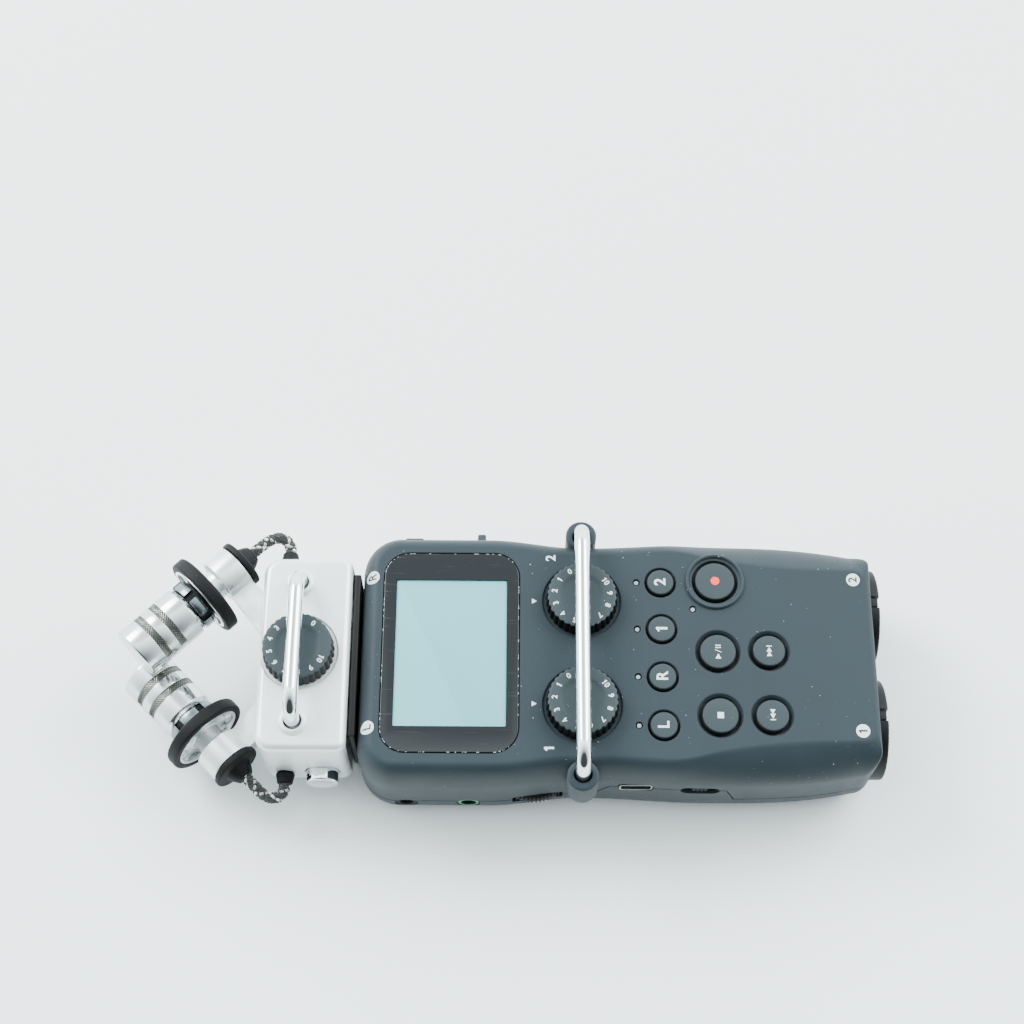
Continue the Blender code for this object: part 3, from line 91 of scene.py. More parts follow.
GLASS = (-27.45, 0.0, 28.6, 39.6)               # clear area of the window: centre x, y, width, height
DIALS = {"input_dial_1": (6.03, -14.02, -0.7), "input_dial_2": (6.03, 14.02, -0.7)}
CAPSULE_DIAL = (-66.2, 0.0, -1.2)
TRACK_X = 26.4
TRACK_YS = {"l": -19.29, "r": -6.43, "1": 6.43, "2": 19.29}
LAMP_X = 20.2
RECORD = (40.5, 19.6)
RECORD_LAMP = (34.6, 12.0)
TRANSPORT = {
    "play_button": (40.6, 0.3, 4.55),
    "stop_button": (40.6, -16.7, 4.55),
    "forward_button": (53.6, 0.6, 4.1),
    "rewind_button": (53.7, -16.6, 4.1),
}
BAR_X = 6.03
BAR_LEG_Y = 32.0
CAPSULE_BAR_X = -66.7
CAPSULE_BAR_LEG_Y = 18.7
WHEEL = (-6.4, -21.5)
JACKS = {"line_out_jack": -38.8, "phone_jack": -22.8}
JACK_Z = -22.2
USB = (19.8, -12.6)
SWITCH = (36.1, -13.0)
SOCKET_Y = 15.3
SOCKET_Z = -15.0
SHELL = (-76.4, -53.3, 26.1, -0.5, -26.5)       # left, right, half width, top, floor
RELEASE = (-60.5, -19.5)
GLAND_X = -70.3
SIDES = {"right": 1.0, "left": -1.0}
RING_CENTRE = (-91.7, 16.4)
MIC_Z = {"right": -3.2, "left": -18.2}
CORD_ROUTE = (                                  # x, distance from the middle, share of the drop to the gland
    (-79.80, 28.30, 0.0), (-78.70, 29.40, 0.0), (-77.20, 30.90, 0.1), (-75.40, 32.40, 0.3),
    (-73.20, 33.10, 0.5), (-71.40, 32.40, 0.75), (-70.50, 30.90, 0.95), (-70.30, 29.60, 1.0),
)

MATERIALS = {}


# ---------------------------------------------------------------- settings

def linear(colour):
    """An sRGB hex colour as linear red, green and blue."""
    channels = [int(colour[i:i + 2], 16) / 255 for i in (0, 2, 4)]
    return [c / 12.92 if c <= 0.04045 else ((c + 0.055) / 1.055) ** 2.4 for c in channels]


def size(name, description, default, low=0.0001, high=0.1):
    """A length setting in metres."""
    return FloatProperty(name=name, description=description, default=default, min=low, max=high,
                         subtype="DISTANCE", unit="LENGTH", precision=5)


def colour(name, description, default):
    """A colour setting, given as sRGB hex."""
    return FloatVectorProperty(name=name, description=description, default=linear(default), size=3,
                               min=0.0, max=1.0, subtype="COLOR")


class RecorderSizes(bpy.types.PropertyGroup):
    """Sizes that keep the pieces inside the fixed frame."""

    bar_diameter: size("Bar diameter", "Thickness of both roll bars", 0.0039, 0.003, 0.0045)
    bar_height: size("Bar height", "Height of the bars' centre line over the panel", 0.008, 0.006, 0.0085)
    bar_bend: size("Bar bend", "Bend radius of the bars' centre line", 0.006, 0.004, 0.008)
    dial_radius: size("Dial radius", "Radius of the level dials' tops", 0.00885, 0.007, 0.0093)
    dial_height: size("Dial height", "Height of the dials over the panel", 0.0044, 0.003, 0.005)
    track_key: size("Track key radius", "Radius of the four track keys", 0.003435, 0.003, 0.0037)
    mic_radius: size("Microphone radius", "Radius of the turned microphone bodies", 0.0071, 0.006, 0.0071)
    cord_diameter: size("Lead diameter", "Diameter of the braided leads", 0.003, 0.002, 0.0032)
    print_depth: size("Print thickness", "How far printed marks stand off", 0.00003, 0.00001, 0.0001)


class RecorderCounts(bpy.types.PropertyGroup):
    """How often repeated details occur."""

    dial_ribs: IntProperty(name="Dial ribs", description="Grip ribs round a level dial", default=32, min=12,
                           max=60)
    wheel_teeth: IntProperty(name="Wheel teeth", description="Teeth round the headphone wheel", default=72,
                             min=24, max=120)
    band_wires: IntProperty(name="Mesh wires", description="Wires each way round a microphone's band",
                            default=56, min=24, max=120)


class RecorderColours(bpy.types.PropertyGroup):
    """Base colours of the finishes."""

    casing: colour("Casing", "Soft-touch coated ABS casing", "1c282e")
    dial: colour("Dials", "Moulded dials", "283337")
    keys: colour("Keys", "Silicone keys", "293337")
    satin: colour("Capsule housing", "Satin silver lacquer", "eaeeee")
    aluminium: colour("Microphones", "Turned aluminium", "d3d6d6")
    chrome: colour("Bars", "Chrome plate", "e6e9e9")
    display: colour("Display", "Unlit liquid-crystal display", "68acb3")
    window: colour("Window", "Printed back of the display window", "070c10")
    rubber: colour("Rubber", "Rings, caps and glands", "08090a")
    mark: colour("Printing", "Printed legends", "d5dadb")
    record: colour("Record mark", "Dot on the record key", "e8402c")
    green: colour("Phone jack", "Insulating ring of the phone jack", "2fae7c")


def sizes():
    """The scene's sizes."""
    return bpy.context.scene.recorder_sizes


def counts():
    """The scene's counts."""
    return bpy.context.scene.recorder_counts


def colours():
    """The scene's colours."""
    return bpy.context.scene.recorder_colours


# ---------------------------------------------------------------- materials

def add(tree, kind, settings=None, links=None):
    """Adds one shader node; settings go to inputs or properties, links join outputs to its inputs."""
    node = tree.nodes.new(kind)
    for key, value in (settings or {}).items():
        if isinstance(key, int) or key in node.inputs:
            node.inputs[key].default_value = value
        else:
            setattr(node, key, value)
    for key, output in (links or {}).items():
        tree.links.new(output, node.inputs[key])
    return node


def finish(name, base, roughness, metallic=0.0, **sockets):
    """A new material with its shader set, and the parts of it that patterns are linked to."""
    material = bpy.data.materials.new(name)
    material.use_nodes = True
    tree = material.node_tree
    shader = tree.nodes["Principled BSDF"]
    shader.inputs["Base Color"].default_value = (*base, 1.0)
    shader.inputs["Roughness"].default_value = roughness
    shader.inputs["Metallic"].default_value = metallic
    for key, value in sockets.items():
        shader.inputs[key.replace("_", " ")].default_value = value
    place = add(tree, "ShaderNodeTexCoord").outputs["Object"]
    MATERIALS[name] = material
    return tree, shader, place


def speckle(tree, place, pitch_mm, detail=2.0, seed=0.0):
    """Noise whose grains are pitch_mm across."""
    moved = add(tree, "ShaderNodeMapping", {"Location": (seed, seed * 0.37, seed * 0.71)}, {"Vector": place})
    return add(tree, "ShaderNodeTexNoise", {"Scale": 1000 / pitch_mm, "Detail": detail, "Roughness": 0.55},
               {"Vector": moved.outputs[0]}).outputs["Fac"]


def span(tree, value, low, high, to_low, to_high):
    """Maps a value between two limits onto two others."""
    return add(tree, "ShaderNodeMapRange", {"From Min": low, "From Max": high, "To Min": to_low,
                                            "To Max": to_high},
               {"Value": value}).outputs["Result"]


def tint(tree, value, first, second):
    """Blends two colours by a value."""
    mix = add(tree, "ShaderNodeMix", {"data_type": "RGBA"})
    mix.inputs[6].default_value = (*first, 1.0)
    mix.inputs[7].default_value = (*second, 1.0)
    tree.links.new(value, mix.inputs[0])
    return mix.outputs[2]


def relief(tree, shader, height, depth_mm):
    """Bump of a real depth."""
    bump = add(tree, "ShaderNodeBump", {"Distance": depth_mm / 1000, "Strength": 1.0}, {"Height": height})
    tree.links.new(bump.outputs["Normal"], shader.inputs["Normal"])


def scaled(base, factor):
    """A colour made lighter or darker."""
    return [min(1.0, c * factor) for c in base]


def moulded_finish(name, base, roughness, grain_mm, depth_mm, dust=0.0, **sockets):
    """Moulded or coated plastic: fine grain, uneven sheen, and pale dust where there is any."""
    tree, shader, place = finish(name, base, roughness, **sockets)
    grain = speckle(tree, place, grain_mm)
    cloud = speckle(tree, place, 14.0, 3.0, 3.1)
    shade = tint(tree, span(tree, cloud, 0.3, 0.7, 0.0, 1.0), scaled(base, 0.93), scaled(base, 1.08))
    if dust:
        flecks = add(tree, "ShaderNodeTexVoronoi", {"feature": "F1", "Scale": 760.0}, {"Vector": place})
        size_of_fleck = span(tree, speckle(tree, place, 5.0, 2.0, 9.4), 0.44, 0.8, 0.0, 0.12)
        near = add(tree, "ShaderNodeMath", {"operation": "LESS_THAN"},
                   {0: flecks.outputs["Distance"], 1: size_of_fleck}).outputs[0]
        strength = add(tree, "ShaderNodeMath", {"operation": "MULTIPLY", 1: dust}, {0: near}).outputs[0]
        mix = add(tree, "ShaderNodeMix", {"data_type": "RGBA"})
        mix.inputs[7].default_value = (0.55, 0.6, 0.62, 1.0)
        tree.links.new(strength, mix.inputs[0])
        tree.links.new(shade, mix.inputs[6])
        shade = mix.outputs[2]
    tree.links.new(shade, shader.inputs["Base Color"])
    rough = span(tree, cloud, 0.3, 0.7, roughness - 0.05, roughness + 0.06)
    tree.links.new(rough, shader.inputs["Roughness"])
    relief(tree, shader, grain, depth_mm)


def metal_finish(name, base, roughness, grain_mm, depth_mm):
    """Metal: faint handling marks in its sheen and a fine surface grain."""
    tree, shader, place = finish(name, base, roughness, 1.0)
    grain = speckle(tree, place, grain_mm)
    smear = speckle(tree, place, 6.0, 4.0, 5.3)
    tree.links.new(span(tree, smear, 0.35, 0.75, roughness * 0.8, roughness * 1.5 + 0.01),
                   shader.inputs["Roughness"])
    tree.links.new(tint(tree, smear, scaled(base, 0.96), scaled(base, 1.03)), shader.inputs["Base Color"])
    relief(tree, shader, grain, depth_mm)


def make_materials():
    """Every finish on the recorder."""
    c = colours()
    # Soft-touch coating on ABS: matte, slightly velvety, and it holds pale dust
    moulded_finish("soft_touch_coating", c.casing, 0.55, 0.35, 0.02, dust=0.9, Specular_IOR_Level=0.24,
                   Sheen_Weight=0.05, Sheen_Roughness=0.6)
    # Moulded ABS of the dials: fine spark-eroded grain, a little smoother than the casing
    moulded_finish("moulded_dial", c.dial, 0.5, 0.3, 0.015, dust=0.35, Specular_IOR_Level=0.3)
    # Black glass-filled nylon inside the wells, sockets and gaps
    moulded_finish("black_nylon", linear("070809"), 0.5, 0.3, 0.01, Specular_IOR_Level=0.2)
    # Silicone keys: soft, almost without gloss
    moulded_finish("silicone_key", c.keys, 0.62, 0.4, 0.012, dust=0.5, Specular_IOR_Level=0.28)
    # Natural-rubber rings and caps: dark and dull
    moulded_finish("black_rubber", c.rubber, 0.6, 0.5, 0.04, dust=0.3, Specular_IOR_Level=0.18)
    # Printing ink: flat and even, worn thin in places
    moulded_finish("printed_ink", c.mark, 0.5, 0.6, 0.002)
    moulded_finish("record_ink", c.record, 0.45, 0.6, 0.002)
    moulded_finish("casing_ink", scaled(c.casing, 0.8), 0.55, 0.6, 0.002)
    # Acrylic window, printed black behind: wet-looking, with hairline scratches
    tree, shader, place = finish("printed_acrylic", c.window, 0.05)
    drawn = add(tree, "ShaderNodeMapping", {"Scale": (0.05, 1.0, 1.0), "Rotation": (0, 0, 0.6)},
                {"Vector": place})
    scratch = speckle(tree, drawn.outputs[0], 0.5, 1.0)
    tree.links.new(span(tree, scratch, 0.66, 0.72, 0.05, 0.3), shader.inputs["Roughness"])
    # Liquid-crystal display behind clear acrylic: pale, with a faint film edge running across it
    tree, shader, place = finish("lcd_film", c.display, 0.3, Coat_Weight=0.25, Coat_Roughness=0.02)
    slope = add(tree, "ShaderNodeMapping", {"Rotation": (0, 0, math.radians(-24))}, {"Vector": place})
    parts = add(tree, "ShaderNodeSeparateXYZ", None, {0: slope.outputs[0]})
    band = span(tree, parts.outputs[0], -0.016, -0.0155, 0.0, 1.0)
    cloud = speckle(tree, place, 30.0, 1.0, 1.7)
    veil = add(tree, "ShaderNodeMath", {"operation": "MULTIPLY_ADD", 1: 0.6}, {0: band, 2: cloud}).outputs[0]
    shade = tint(tree, span(tree, veil, 0.3, 1.3, 0.0, 1.0), scaled(c.display, 1.06), scaled(c.display, 0.93))
    tree.links.new(shade, shader.inputs["Base Color"])
    # Chrome plate on steel rod: mirror-like with faint handling marks
    metal_finish("chrome_plate", c.chrome, 0.05, 1.2, 0.0004)
    # Satin lacquer over zinc: even, fine metallic grain
    tree, shader, place = finish("satin_lacquer", c.satin, 0.36, 0.45)
    flake = speckle(tree, place, 0.25, 1.0)
    cloud = speckle(tree, place, 18.0, 2.0, 4.2)
    tree.links.new(tint(tree, flake, scaled(c.satin, 0.9), scaled(c.satin, 1.08)),
                   shader.inputs["Base Color"])
    tree.links.new(span(tree, cloud, 0.3, 0.7, 0.33, 0.41), shader.inputs["Roughness"])
    relief(tree, shader, flake, 0.004)
    # Aluminium turned on a lathe: bright, with fine tool marks round it
    metal_finish("turned_aluminium", c.aluminium, 0.17, 0.5, 0.002)
    metal_finish("bead_blasted_aluminium", linear("e2e6e6"), 0.34, 0.3, 0.004)
    # Woven steel gauze of the microphone bands: dull and grey
    metal_finish("steel_gauze", linear("8d8f87"), 0.3, 0.2, 0.004)
    metal_finish("dark_nickel", linear("767e81"), 0.2, 0.6, 0.002)
    metal_finish("nickel_plate", linear("b4b7b5"), 0.22, 0.8, 0.002)
    # Braided polyester over the leads: black yarn with white tracer yarns
    moulded_finish("black_yarn", linear("141516"), 0.8, 0.12, 0.03, Sheen_Weight=0.4)
    moulded_finish("white_yarn", linear("d8d6cc"), 0.75, 0.12, 0.03, Sheen_Weight=0.4)
    # Glossy moulded plastics
    moulded_finish("green_nylon", c.green, 0.3, 0.8, 0.003)
    moulded_finish("frosted_acrylic", linear("8a9498"), 0.35, 0.5, 0.003)
    moulded_finish("battery_sleeve", linear("6f7a80"), 0.3, 0.8, 0.003)
    # Circuit board under green solder mask
    moulded_finish("solder_mask", linear("1d5a3b"), 0.35, 1.0, 0.01)
    # Near-black painted shade, laid on key skirts, lamp stems and the insides of the microphone bands, down
    # in gaps and holes
    moulded_finish("painted_gap_shade", linear("050606"), 0.7, 0.5, 0.01)


# ---------------------------------------------------------------- mesh tools

def frame_on(centre, axis=(0, 0, 1)):
    """A placing matrix whose z axis points along axis."""
    turn = Vector((0, 0, 1)).rotation_difference(Vector(axis)).to_matrix().to_4x4()
    return Matrix.Translation(Vector(centre)) @ turn


def link(name, mesh):
    """A new object in the scene."""
    obj = bpy.data.objects.new(name, mesh)
    bpy.context.scene.collection.objects.link(obj)
    return obj


def piece(name, bm, material, angle=32.0, place=PLACE):
    """A mesh object from millimetre geometry, smooth except at edges sharper than angle."""
    bmesh.ops.recalc_face_normals(bm, faces=bm.faces)
    bm.transform(place)
    mesh = bpy.data.meshes.new(name)
    bm.to_mesh(mesh)
    bm.free()
    mesh.materials.append(MATERIALS[material])
    shade(mesh, angle)
    return link(name, mesh)


def shade(mesh, angle):
    """Smooth shading, with edges kept sharp past an angle in degrees."""
    mesh.shade_smooth()
    mesh.set_sharp_from_angle(angle=math.radians(angle))


def rounded(points, steps=5):
    """Points of a profile given as (r, z, fillet), with an arc at each point that has a fillet."""
    result = []
    for i, (r, z, fillet) in enumerate(points):
        here = Vector((r, z))
        if not fillet or i in (0, len(points) - 1):
            result.append(here)
            continue
        back = Vector(points[i - 1][:2]) - here
        onward = Vector(points[i + 1][:2]) - here
        half = back.angle(onward) / 2
        reach = min(fillet / math.tan(half), back.length * 0.48, onward.length * 0.48)
        radius = reach * math.tan(half)
        back.normalize()
        onward.normalize()
        centre = here + (back + onward).normalized() * (radius / math.sin(half))
        start = here + back * reach - centre
        end = here + onward * reach - centre
        sweep = start.angle(end)
        for k in range(steps + 1):
            t = k / steps
            blend = start * math.sin((1 - t) * sweep) + end * math.sin(t * sweep)
            result.append(centre + blend / math.sin(sweep))
    return [(p.x, p.y) for p in result]


def lathe(bm, profile, place=Matrix(), sides=64):
    """Turns a profile of (r, z, fillet) round place's z axis; off the axis, the profile closes on itself."""
    points = rounded(profile)
    on_axis = points[0][0] < 1e-6
    rings = []
    for r, z in points:
        if r < 1e-6:
            rings.append([bm.verts.new(place @ Vector((0, 0, z)))])
            continue
        ring = []
        for i in range(sides):
            angle = 2 * math.pi * i / sides
            ring.append(bm.verts.new(place @ Vector((r * math.cos(angle), r * math.sin(angle), z))))
        rings.append(ring)
    pairs = list(zip(rings, rings[1:]))
    if not on_axis:
        pairs.append((rings[-1], rings[0]))
    for upper, lower in pairs:
        for i in range(sides):
            j = (i + 1) % sides
            if len(upper) == 1 and len(lower) == 1:
                break
            if len(upper) == 1:
                bm.faces.new((upper[0], lower[i], lower[j]))
            elif len(lower) == 1:
                bm.faces.new((upper[i], lower[0], upper[j]))
            else:
                bm.faces.new((upper[i], lower[i], lower[j], upper[j]))
    return bm


def turned(name, profile, material, centre=(0, 0, 0), axis=(0, 0, 1), sides=64, angle=32.0):
    """A turned piece set on a centre and axis."""
    return piece(name, lathe(bmesh.new(), profile, frame_on(centre, axis), sides), material, angle)


def soft_box(bm, low, high, radius=0.3, segments=3, place=Matrix()):
    """A box with rounded edges."""
    low = Vector(low)
    high = Vector(high)
    middle = (low + high) / 2
    scale = Matrix.Diagonal((*(high - low), 1.0))
    made = bmesh.ops.create_cube(bm, size=1.0, matrix=place @ Matrix.Translation(middle) @ scale)
    if radius:
        edges = {edge for vert in made["verts"] for edge in vert.link_edges}
        bmesh.ops.bevel(bm, geom=list(edges), offset=radius, segments=segments, profile=0.5, affect="EDGES")
    return bm


def stack(bm, rings):
    """A closed solid through rings of points, flat at both ends."""
    loops = [[bm.verts.new(point) for point in ring] for ring in rings]
    count = len(loops[0])
    for upper, lower in zip(loops, loops[1:]):
        for i in range(count):
            j = (i + 1) % count
            bm.faces.new((upper[i], lower[i], lower[j], upper[j]))
    bm.faces.new(loops[0])
    bm.faces.new(list(reversed(loops[-1])))
    return bm


def rectangle(width, height, radius, steps=8, centre=(0.0, 0.0)):
    """Outline of a rectangle with arcs at its corners."""
    points = []
    for turn, (sx, sy) in enumerate(((1, 1), (-1, 1), (-1, -1), (1, -1))):
        for i in range(steps + 1):
            angle = math.radians(90) * (turn + i / steps)
            points.append((centre[0] + sx * (width / 2 - radius) + radius * math.cos(angle),
                           centre[1] + sy * (height / 2 - radius) + radius * math.sin(angle)))
    return points


def slab(bm, outline, low, high, place=Matrix()):
    """A flat piece with square edges from a flat outline."""
    return stack(bm, [[place @ Vector((x, y, z)) for x, y in outline] for z in (high, low)])


def pillow(bm, width, height, corner_radius, low, high, edge, centre=(0.0, 0.0), place=Matrix(), steps=8):
    """A rounded rectangular plate whose top and bottom edges are rounded by edge."""
    rings = []
    for i in range(5):
        angle = math.radians(90) * i / 4
        inset = edge * (1 - math.sin(angle))
        outline = rectangle(width - 2 * inset, height - 2 * inset, max(corner_radius - inset, 0.05), steps,
                            centre)
        rings.append([place @ Vector((x, y, high - edge * (1 - math.cos(angle)))) for x, y in outline])
    for i in range(5):
        angle = math.radians(90) * (4 - i) / 4
        inset = edge * (1 - math.sin(angle))
        outline = rectangle(width - 2 * inset, height - 2 * inset, max(corner_radius - inset, 0.05), steps,
                            centre)
        rings.append([place @ Vector((x, y, low + edge * (1 - math.cos(angle)))) for x, y in outline])
    return stack(bm, rings)


def smooth_route(points, steps):
    """Points on a Catmull-Rom curve through the given ones."""
    vectors = [Vector(p) for p in points]
    vectors = [2 * vectors[0] - vectors[1]] + vectors + [2 * vectors[-1] - vectors[-2]]
    result = []
    for a, b, c, d in zip(vectors, vectors[1:], vectors[2:], vectors[3:]):
        for i in range(steps):
            t = i / steps
            result.append(0.5 * (2 * b + (c - a) * t + (2 * a - 5 * b + 4 * c - d) * t ** 2
                                 + (3 * b - a - 3 * c + d) * t ** 3))
    return result + [vectors[-2]]


def frames_along(route):
    """Each point of a route with two directions square to it, carried along without twist."""
    result = []
    side = None
    for i, point in enumerate(route):
        ahead = (route[min(i + 1, len(route) - 1)] - route[max(i - 1, 0)]).normalized()
        if side is None:
            side = ahead.orthogonal().normalized()
        side = (side - ahead * side.dot(ahead)).normalized()
        result.append((point, side, ahead.cross(side)))
    return result


def pipe(bm, route, radius, sides=24):
    """A round tube with flat ends along a route."""
    rings = []
    for point, u, v in frames_along(route):
        rings.append([point + u * (radius * math.cos(2 * math.pi * k / sides))
                      + v * (radius * math.sin(2 * math.pi * k / sides)) for k in range(sides)])
    return stack(bm, rings)


def plain_copy(obj):
    """The evaluated mesh of an object, as its new mesh without modifiers."""
    graph = bpy.context.evaluated_depsgraph_get()
    mesh = bpy.data.meshes.new_from_object(obj.evaluated_get(graph))
    obj.modifiers.clear()
    obj.data = mesh
    return mesh


def carve(obj, cutters, joins=(), angle=32.0):
    """Joins and cuts solids with exact Booleans, then shades the result."""
    for solid in joins:
        if solid.data.materials[0] == MATERIALS["soft_touch_coating"]:
            solid.data.materials[0] = obj.data.materials[0]
    for operation, tools in (("UNION", joins), ("DIFFERENCE", cutters)):
        for tool in tools:
            modifier = obj.modifiers.new(tool.name, "BOOLEAN")
            modifier.operation = operation
            modifier.solver = "EXACT"
            modifier.material_mode = "TRANSFER" if operation == "UNION" else "INDEX"
            modifier.object = tool
    bpy.context.view_layer.update()
    mesh = plain_copy(obj)
    for tool in (*cutters, *joins):
        bpy.data.objects.remove(tool, do_unlink=True)
    bm = bmesh.new()
    bm.from_mesh(mesh)
    bmesh.ops.remove_doubles(bm, verts=bm.verts, dist=1e-7)
    bm.to_mesh(mesh)
    bm.free()
    shade(mesh, angle)
    return obj


def tool(bm):
    """A cutter or a joined solid, from millimetre geometry."""
    return piece("tool", bm, "soft_touch_coating")


def turned_tool(profile, place, sides=64):
    """A cutter or a joined solid turned round the axis of place."""
    return tool(lathe(bmesh.new(), profile, place, sides))


def box_tool(low, high, radius=0.3, segments=3):
    """A cutter or a joined solid between two corners."""
    return tool(soft_box(bmesh.new(), low, high, radius, segments))


def slab_tool(outline, low, high, place=Matrix()):
    """A cutter or a joined solid with square edges, from a flat outline."""
    return tool(slab(bmesh.new(), outline, low, high, place))


def ring_tool(rings):
    """A cutter through rings of points."""
    return tool(stack(bmesh.new(), rings))


def ride(obj, body, *nodes, slot=None):
    """Sets which body a piece moves with and hides the nodes it stands for; slot is not used."""
    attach(obj, body)
    if nodes:
        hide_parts(*nodes)
    return obj


# ---------------------------------------------------------------- repeated details

def ring_tree():
    """Geometry nodes that repeat a mesh round the z axis."""
    tree = bpy.data.node_groups.new("Repeat round an axis", "GeometryNodeTree")
    tree.interface.new_socket("Geometry", in_out="INPUT", socket_type="NodeSocketGeometry")
    tree.interface.new_socket("Count", in_out="INPUT", socket_type="NodeSocketInt").default_value = 12
    tree.interface.new_socket("Start", in_out="INPUT", socket_type="NodeSocketFloat").default_value = 0.0
    tree.interface.new_socket("Finish", in_out="INPUT", socket_type="NodeSocketMaterial")
    tree.interface.new_socket("Geometry", in_out="OUTPUT", socket_type="NodeSocketGeometry")
    start = add(tree, "NodeGroupInput")
    end = add(tree, "NodeGroupOutput")
    points = add(tree, "GeometryNodePoints", None, {"Count": start.outputs["Count"]})
    index = add(tree, "GeometryNodeInputIndex")
    step = add(tree, "ShaderNodeMath", {"operation": "DIVIDE", 0: 2 * math.pi}, {1: start.outputs["Count"]})
    turn = add(tree, "ShaderNodeMath", {"operation": "MULTIPLY_ADD"},
               {0: index.outputs[0], 1: step.outputs[0], 2: start.outputs["Start"]})
    spin = add(tree, "ShaderNodeCombineXYZ", None, {"Z": turn.outputs[0]})
    rotation = add(tree, "FunctionNodeEulerToRotation", None, {0: spin.outputs[0]})
    copies = add(tree, "GeometryNodeInstanceOnPoints", None,
                 {"Points": points.outputs[0], "Instance": start.outputs["Geometry"],
                  "Rotation": rotation.outputs[0]})
    real = add(tree, "GeometryNodeRealizeInstances", None, {0: copies.outputs[0]})
    coat = add(tree, "GeometryNodeSetMaterial", None,
               {"Geometry": real.outputs[0], "Material": start.outputs["Finish"]})
    tree.links.new(coat.outputs[0], end.inputs[0])
    return tree


def ring_of(name, bm, count, material, centre, axis=(0, 0, 1), start=0.0, angle=32.0):
    """Copies of one small shape, drawn in millimetres round the z axis, set on a centre and axis."""
    tree = bpy.data.node_groups.get("Repeat round an axis") or ring_tree()
    obj = piece(name, bm, material, angle, Matrix.Scale(0.001, 4))
    modifier = obj.modifiers.new("Repeat", "NODES")
    modifier.node_group = tree
    inputs = {item.name: item.identifier for item in tree.interface.items_tree if item.in_out == "INPUT"}
    modifier[inputs["Count"]] = count
    modifier[inputs["Start"]] = math.radians(start)
    modifier[inputs["Finish"]] = MATERIALS[material]
    bpy.context.view_layer.update()
    mesh = plain_copy(obj)
    mesh.transform(Matrix.Translation(OFFSET) @ Matrix.Translation(Vector(centre) / 1000)
                   @ frame_on((0, 0, 0), axis))
    shade(mesh, angle)
    return obj


# ---------------------------------------------------------------- casing

def ease(first, last, share):
    """Goes from one value to another along half a cosine wave."""
    return first + (last - first) * (1 - math.cos(math.pi * share)) / 2


def half_width(x):
    """Half the casing's width at x: display, waist at the roll bar, hips and taper."""
    if x <= SHOULDER_X:
        return DISPLAY_HALF_WIDTH
    if x <= WAIST_X:
        return ease(DISPLAY_HALF_WIDTH, WAIST_HALF_WIDTH, (x - SHOULDER_X) / (WAIST_X - SHOULDER_X))
    if x <= HIP_START:
        return ease(WAIST_HALF_WIDTH, HIP_HALF_WIDTH, (x - WAIST_X) / (HIP_START - WAIST_X))
    return HIP_HALF_WIDTH - END_TAPER * max(0.0, (x - HIP_END) / (BODY_RIGHT - HIP_END)) ** 2.5


def casing_ring(inset, z):
    """The casing's outline at height z, moved inwards by inset."""
    left = PANEL_LEFT + inset
    right = BODY_RIGHT - inset
    left_arc = max(LEFT_CORNER - inset, 1.5)
    right_arc = max(RIGHT_CORNER - inset, 0.8)
    upper = []
    width = half_width(left + left_arc) - inset
    for i in range(15):
        angle = math.radians(180 - 90 * i / 14)
        upper.append((left + left_arc * (1 + math.cos(angle)), width - left_arc * (1 - math.sin(angle))))
    start = left + left_arc
    end = right - right_arc
    for i in range(1, 56):
        x = start + (end - start) * i / 56
        upper.append((x, half_width(x) - inset))
    width = half_width(end) - inset
    for i in range(9):
        angle = math.radians(90 - 90 * i / 8)
        upper.append((end + right_arc * math.cos(angle), width - right_arc * (1 - math.sin(angle))))
    lower = [(x, -y) for x, y in reversed(upper)]
    return [Vector((x, y, z)) for x, y in upper + lower]


def crease(x):
    """Distance of a grip's crease from the middle, and how much of a crease there is, from 0 to 1."""
    share = min(1.0, max(0.0, (x - GRIP_START) / (GRIP_FULL - GRIP_START)))
    share = share * share * (3 - 2 * share)
    return 23.0 + 5.75 * max(0.0, (76.4 - x) / 47.5) ** 2.4, share


def front_ring(turn, flat=0.0):
    """One ring of the front's rounding, turn going from 0 on the panel to 1 on the side.

    The display end and the sides are deep, the socket end is crisp, and each grip starts at a crease. A ring
    with flat lies that far inside the edge of the panel.
    """
    quarter_turn = math.radians(90)
    sine = math.sin(turn * quarter_turn)
    cosine = math.cos(turn * quarter_turn)
    deep = (ROUNDING[0] * (1 - sine) + flat, ROUNDING[1] * (1 - cosine))
    crisp = (END_ROUNDING[0] * (1 - sine) + flat, END_ROUNDING[1] * (1 - cosine))
    left = PANEL_LEFT + deep[0]
    right = BODY_RIGHT - crisp[0]
    left_arc = max(LEFT_CORNER - deep[0], 1.5)
    right_arc = max(RIGHT_CORNER - crisp[0], 0.8)

    def side(x):
        """Half width and height of this ring at x."""
        line, share = crease(x)
        begin = GRIP_ANGLE * share
        angle = begin + (quarter_turn - begin) * turn
        plain = half_width(x) - ROUNDING[0]
        across = half_width(x) - (plain + (line - plain) * share)
        inset = across * (1 - math.sin(angle)) / (1 - math.sin(begin)) + flat
        depth = ROUNDING[1] * (math.cos(begin) - math.cos(angle)) / math.cos(begin)
        return half_width(x) - inset, -depth

    upper = []
    width, level = side(left + left_arc)
    for i in range(15):
        angle = math.radians(180 - 90 * i / 14)
        upper.append((left + left_arc * (1 + math.cos(angle)), width - left_arc * (1 - math.sin(angle)),
                      level))
    start = left + left_arc
    end = right - right_arc
    for i in range(1, 72):
        x = start + (end - start) * i / 72
        upper.append((x, *side(x)))
    width, level = side(end)
    for i in range(15):
        angle = math.radians(90 - 90 * i / 14)
        share = math.sin(angle) ** 2
        upper.append((end + right_arc * math.cos(angle), width - right_arc * (1 - math.sin(angle)),
                      level * share - crisp[1] * (1 - share)))
    lower = [(x, -y, z) for x, y, z in reversed(upper)]
    return [Vector(point) for point in upper + lower]


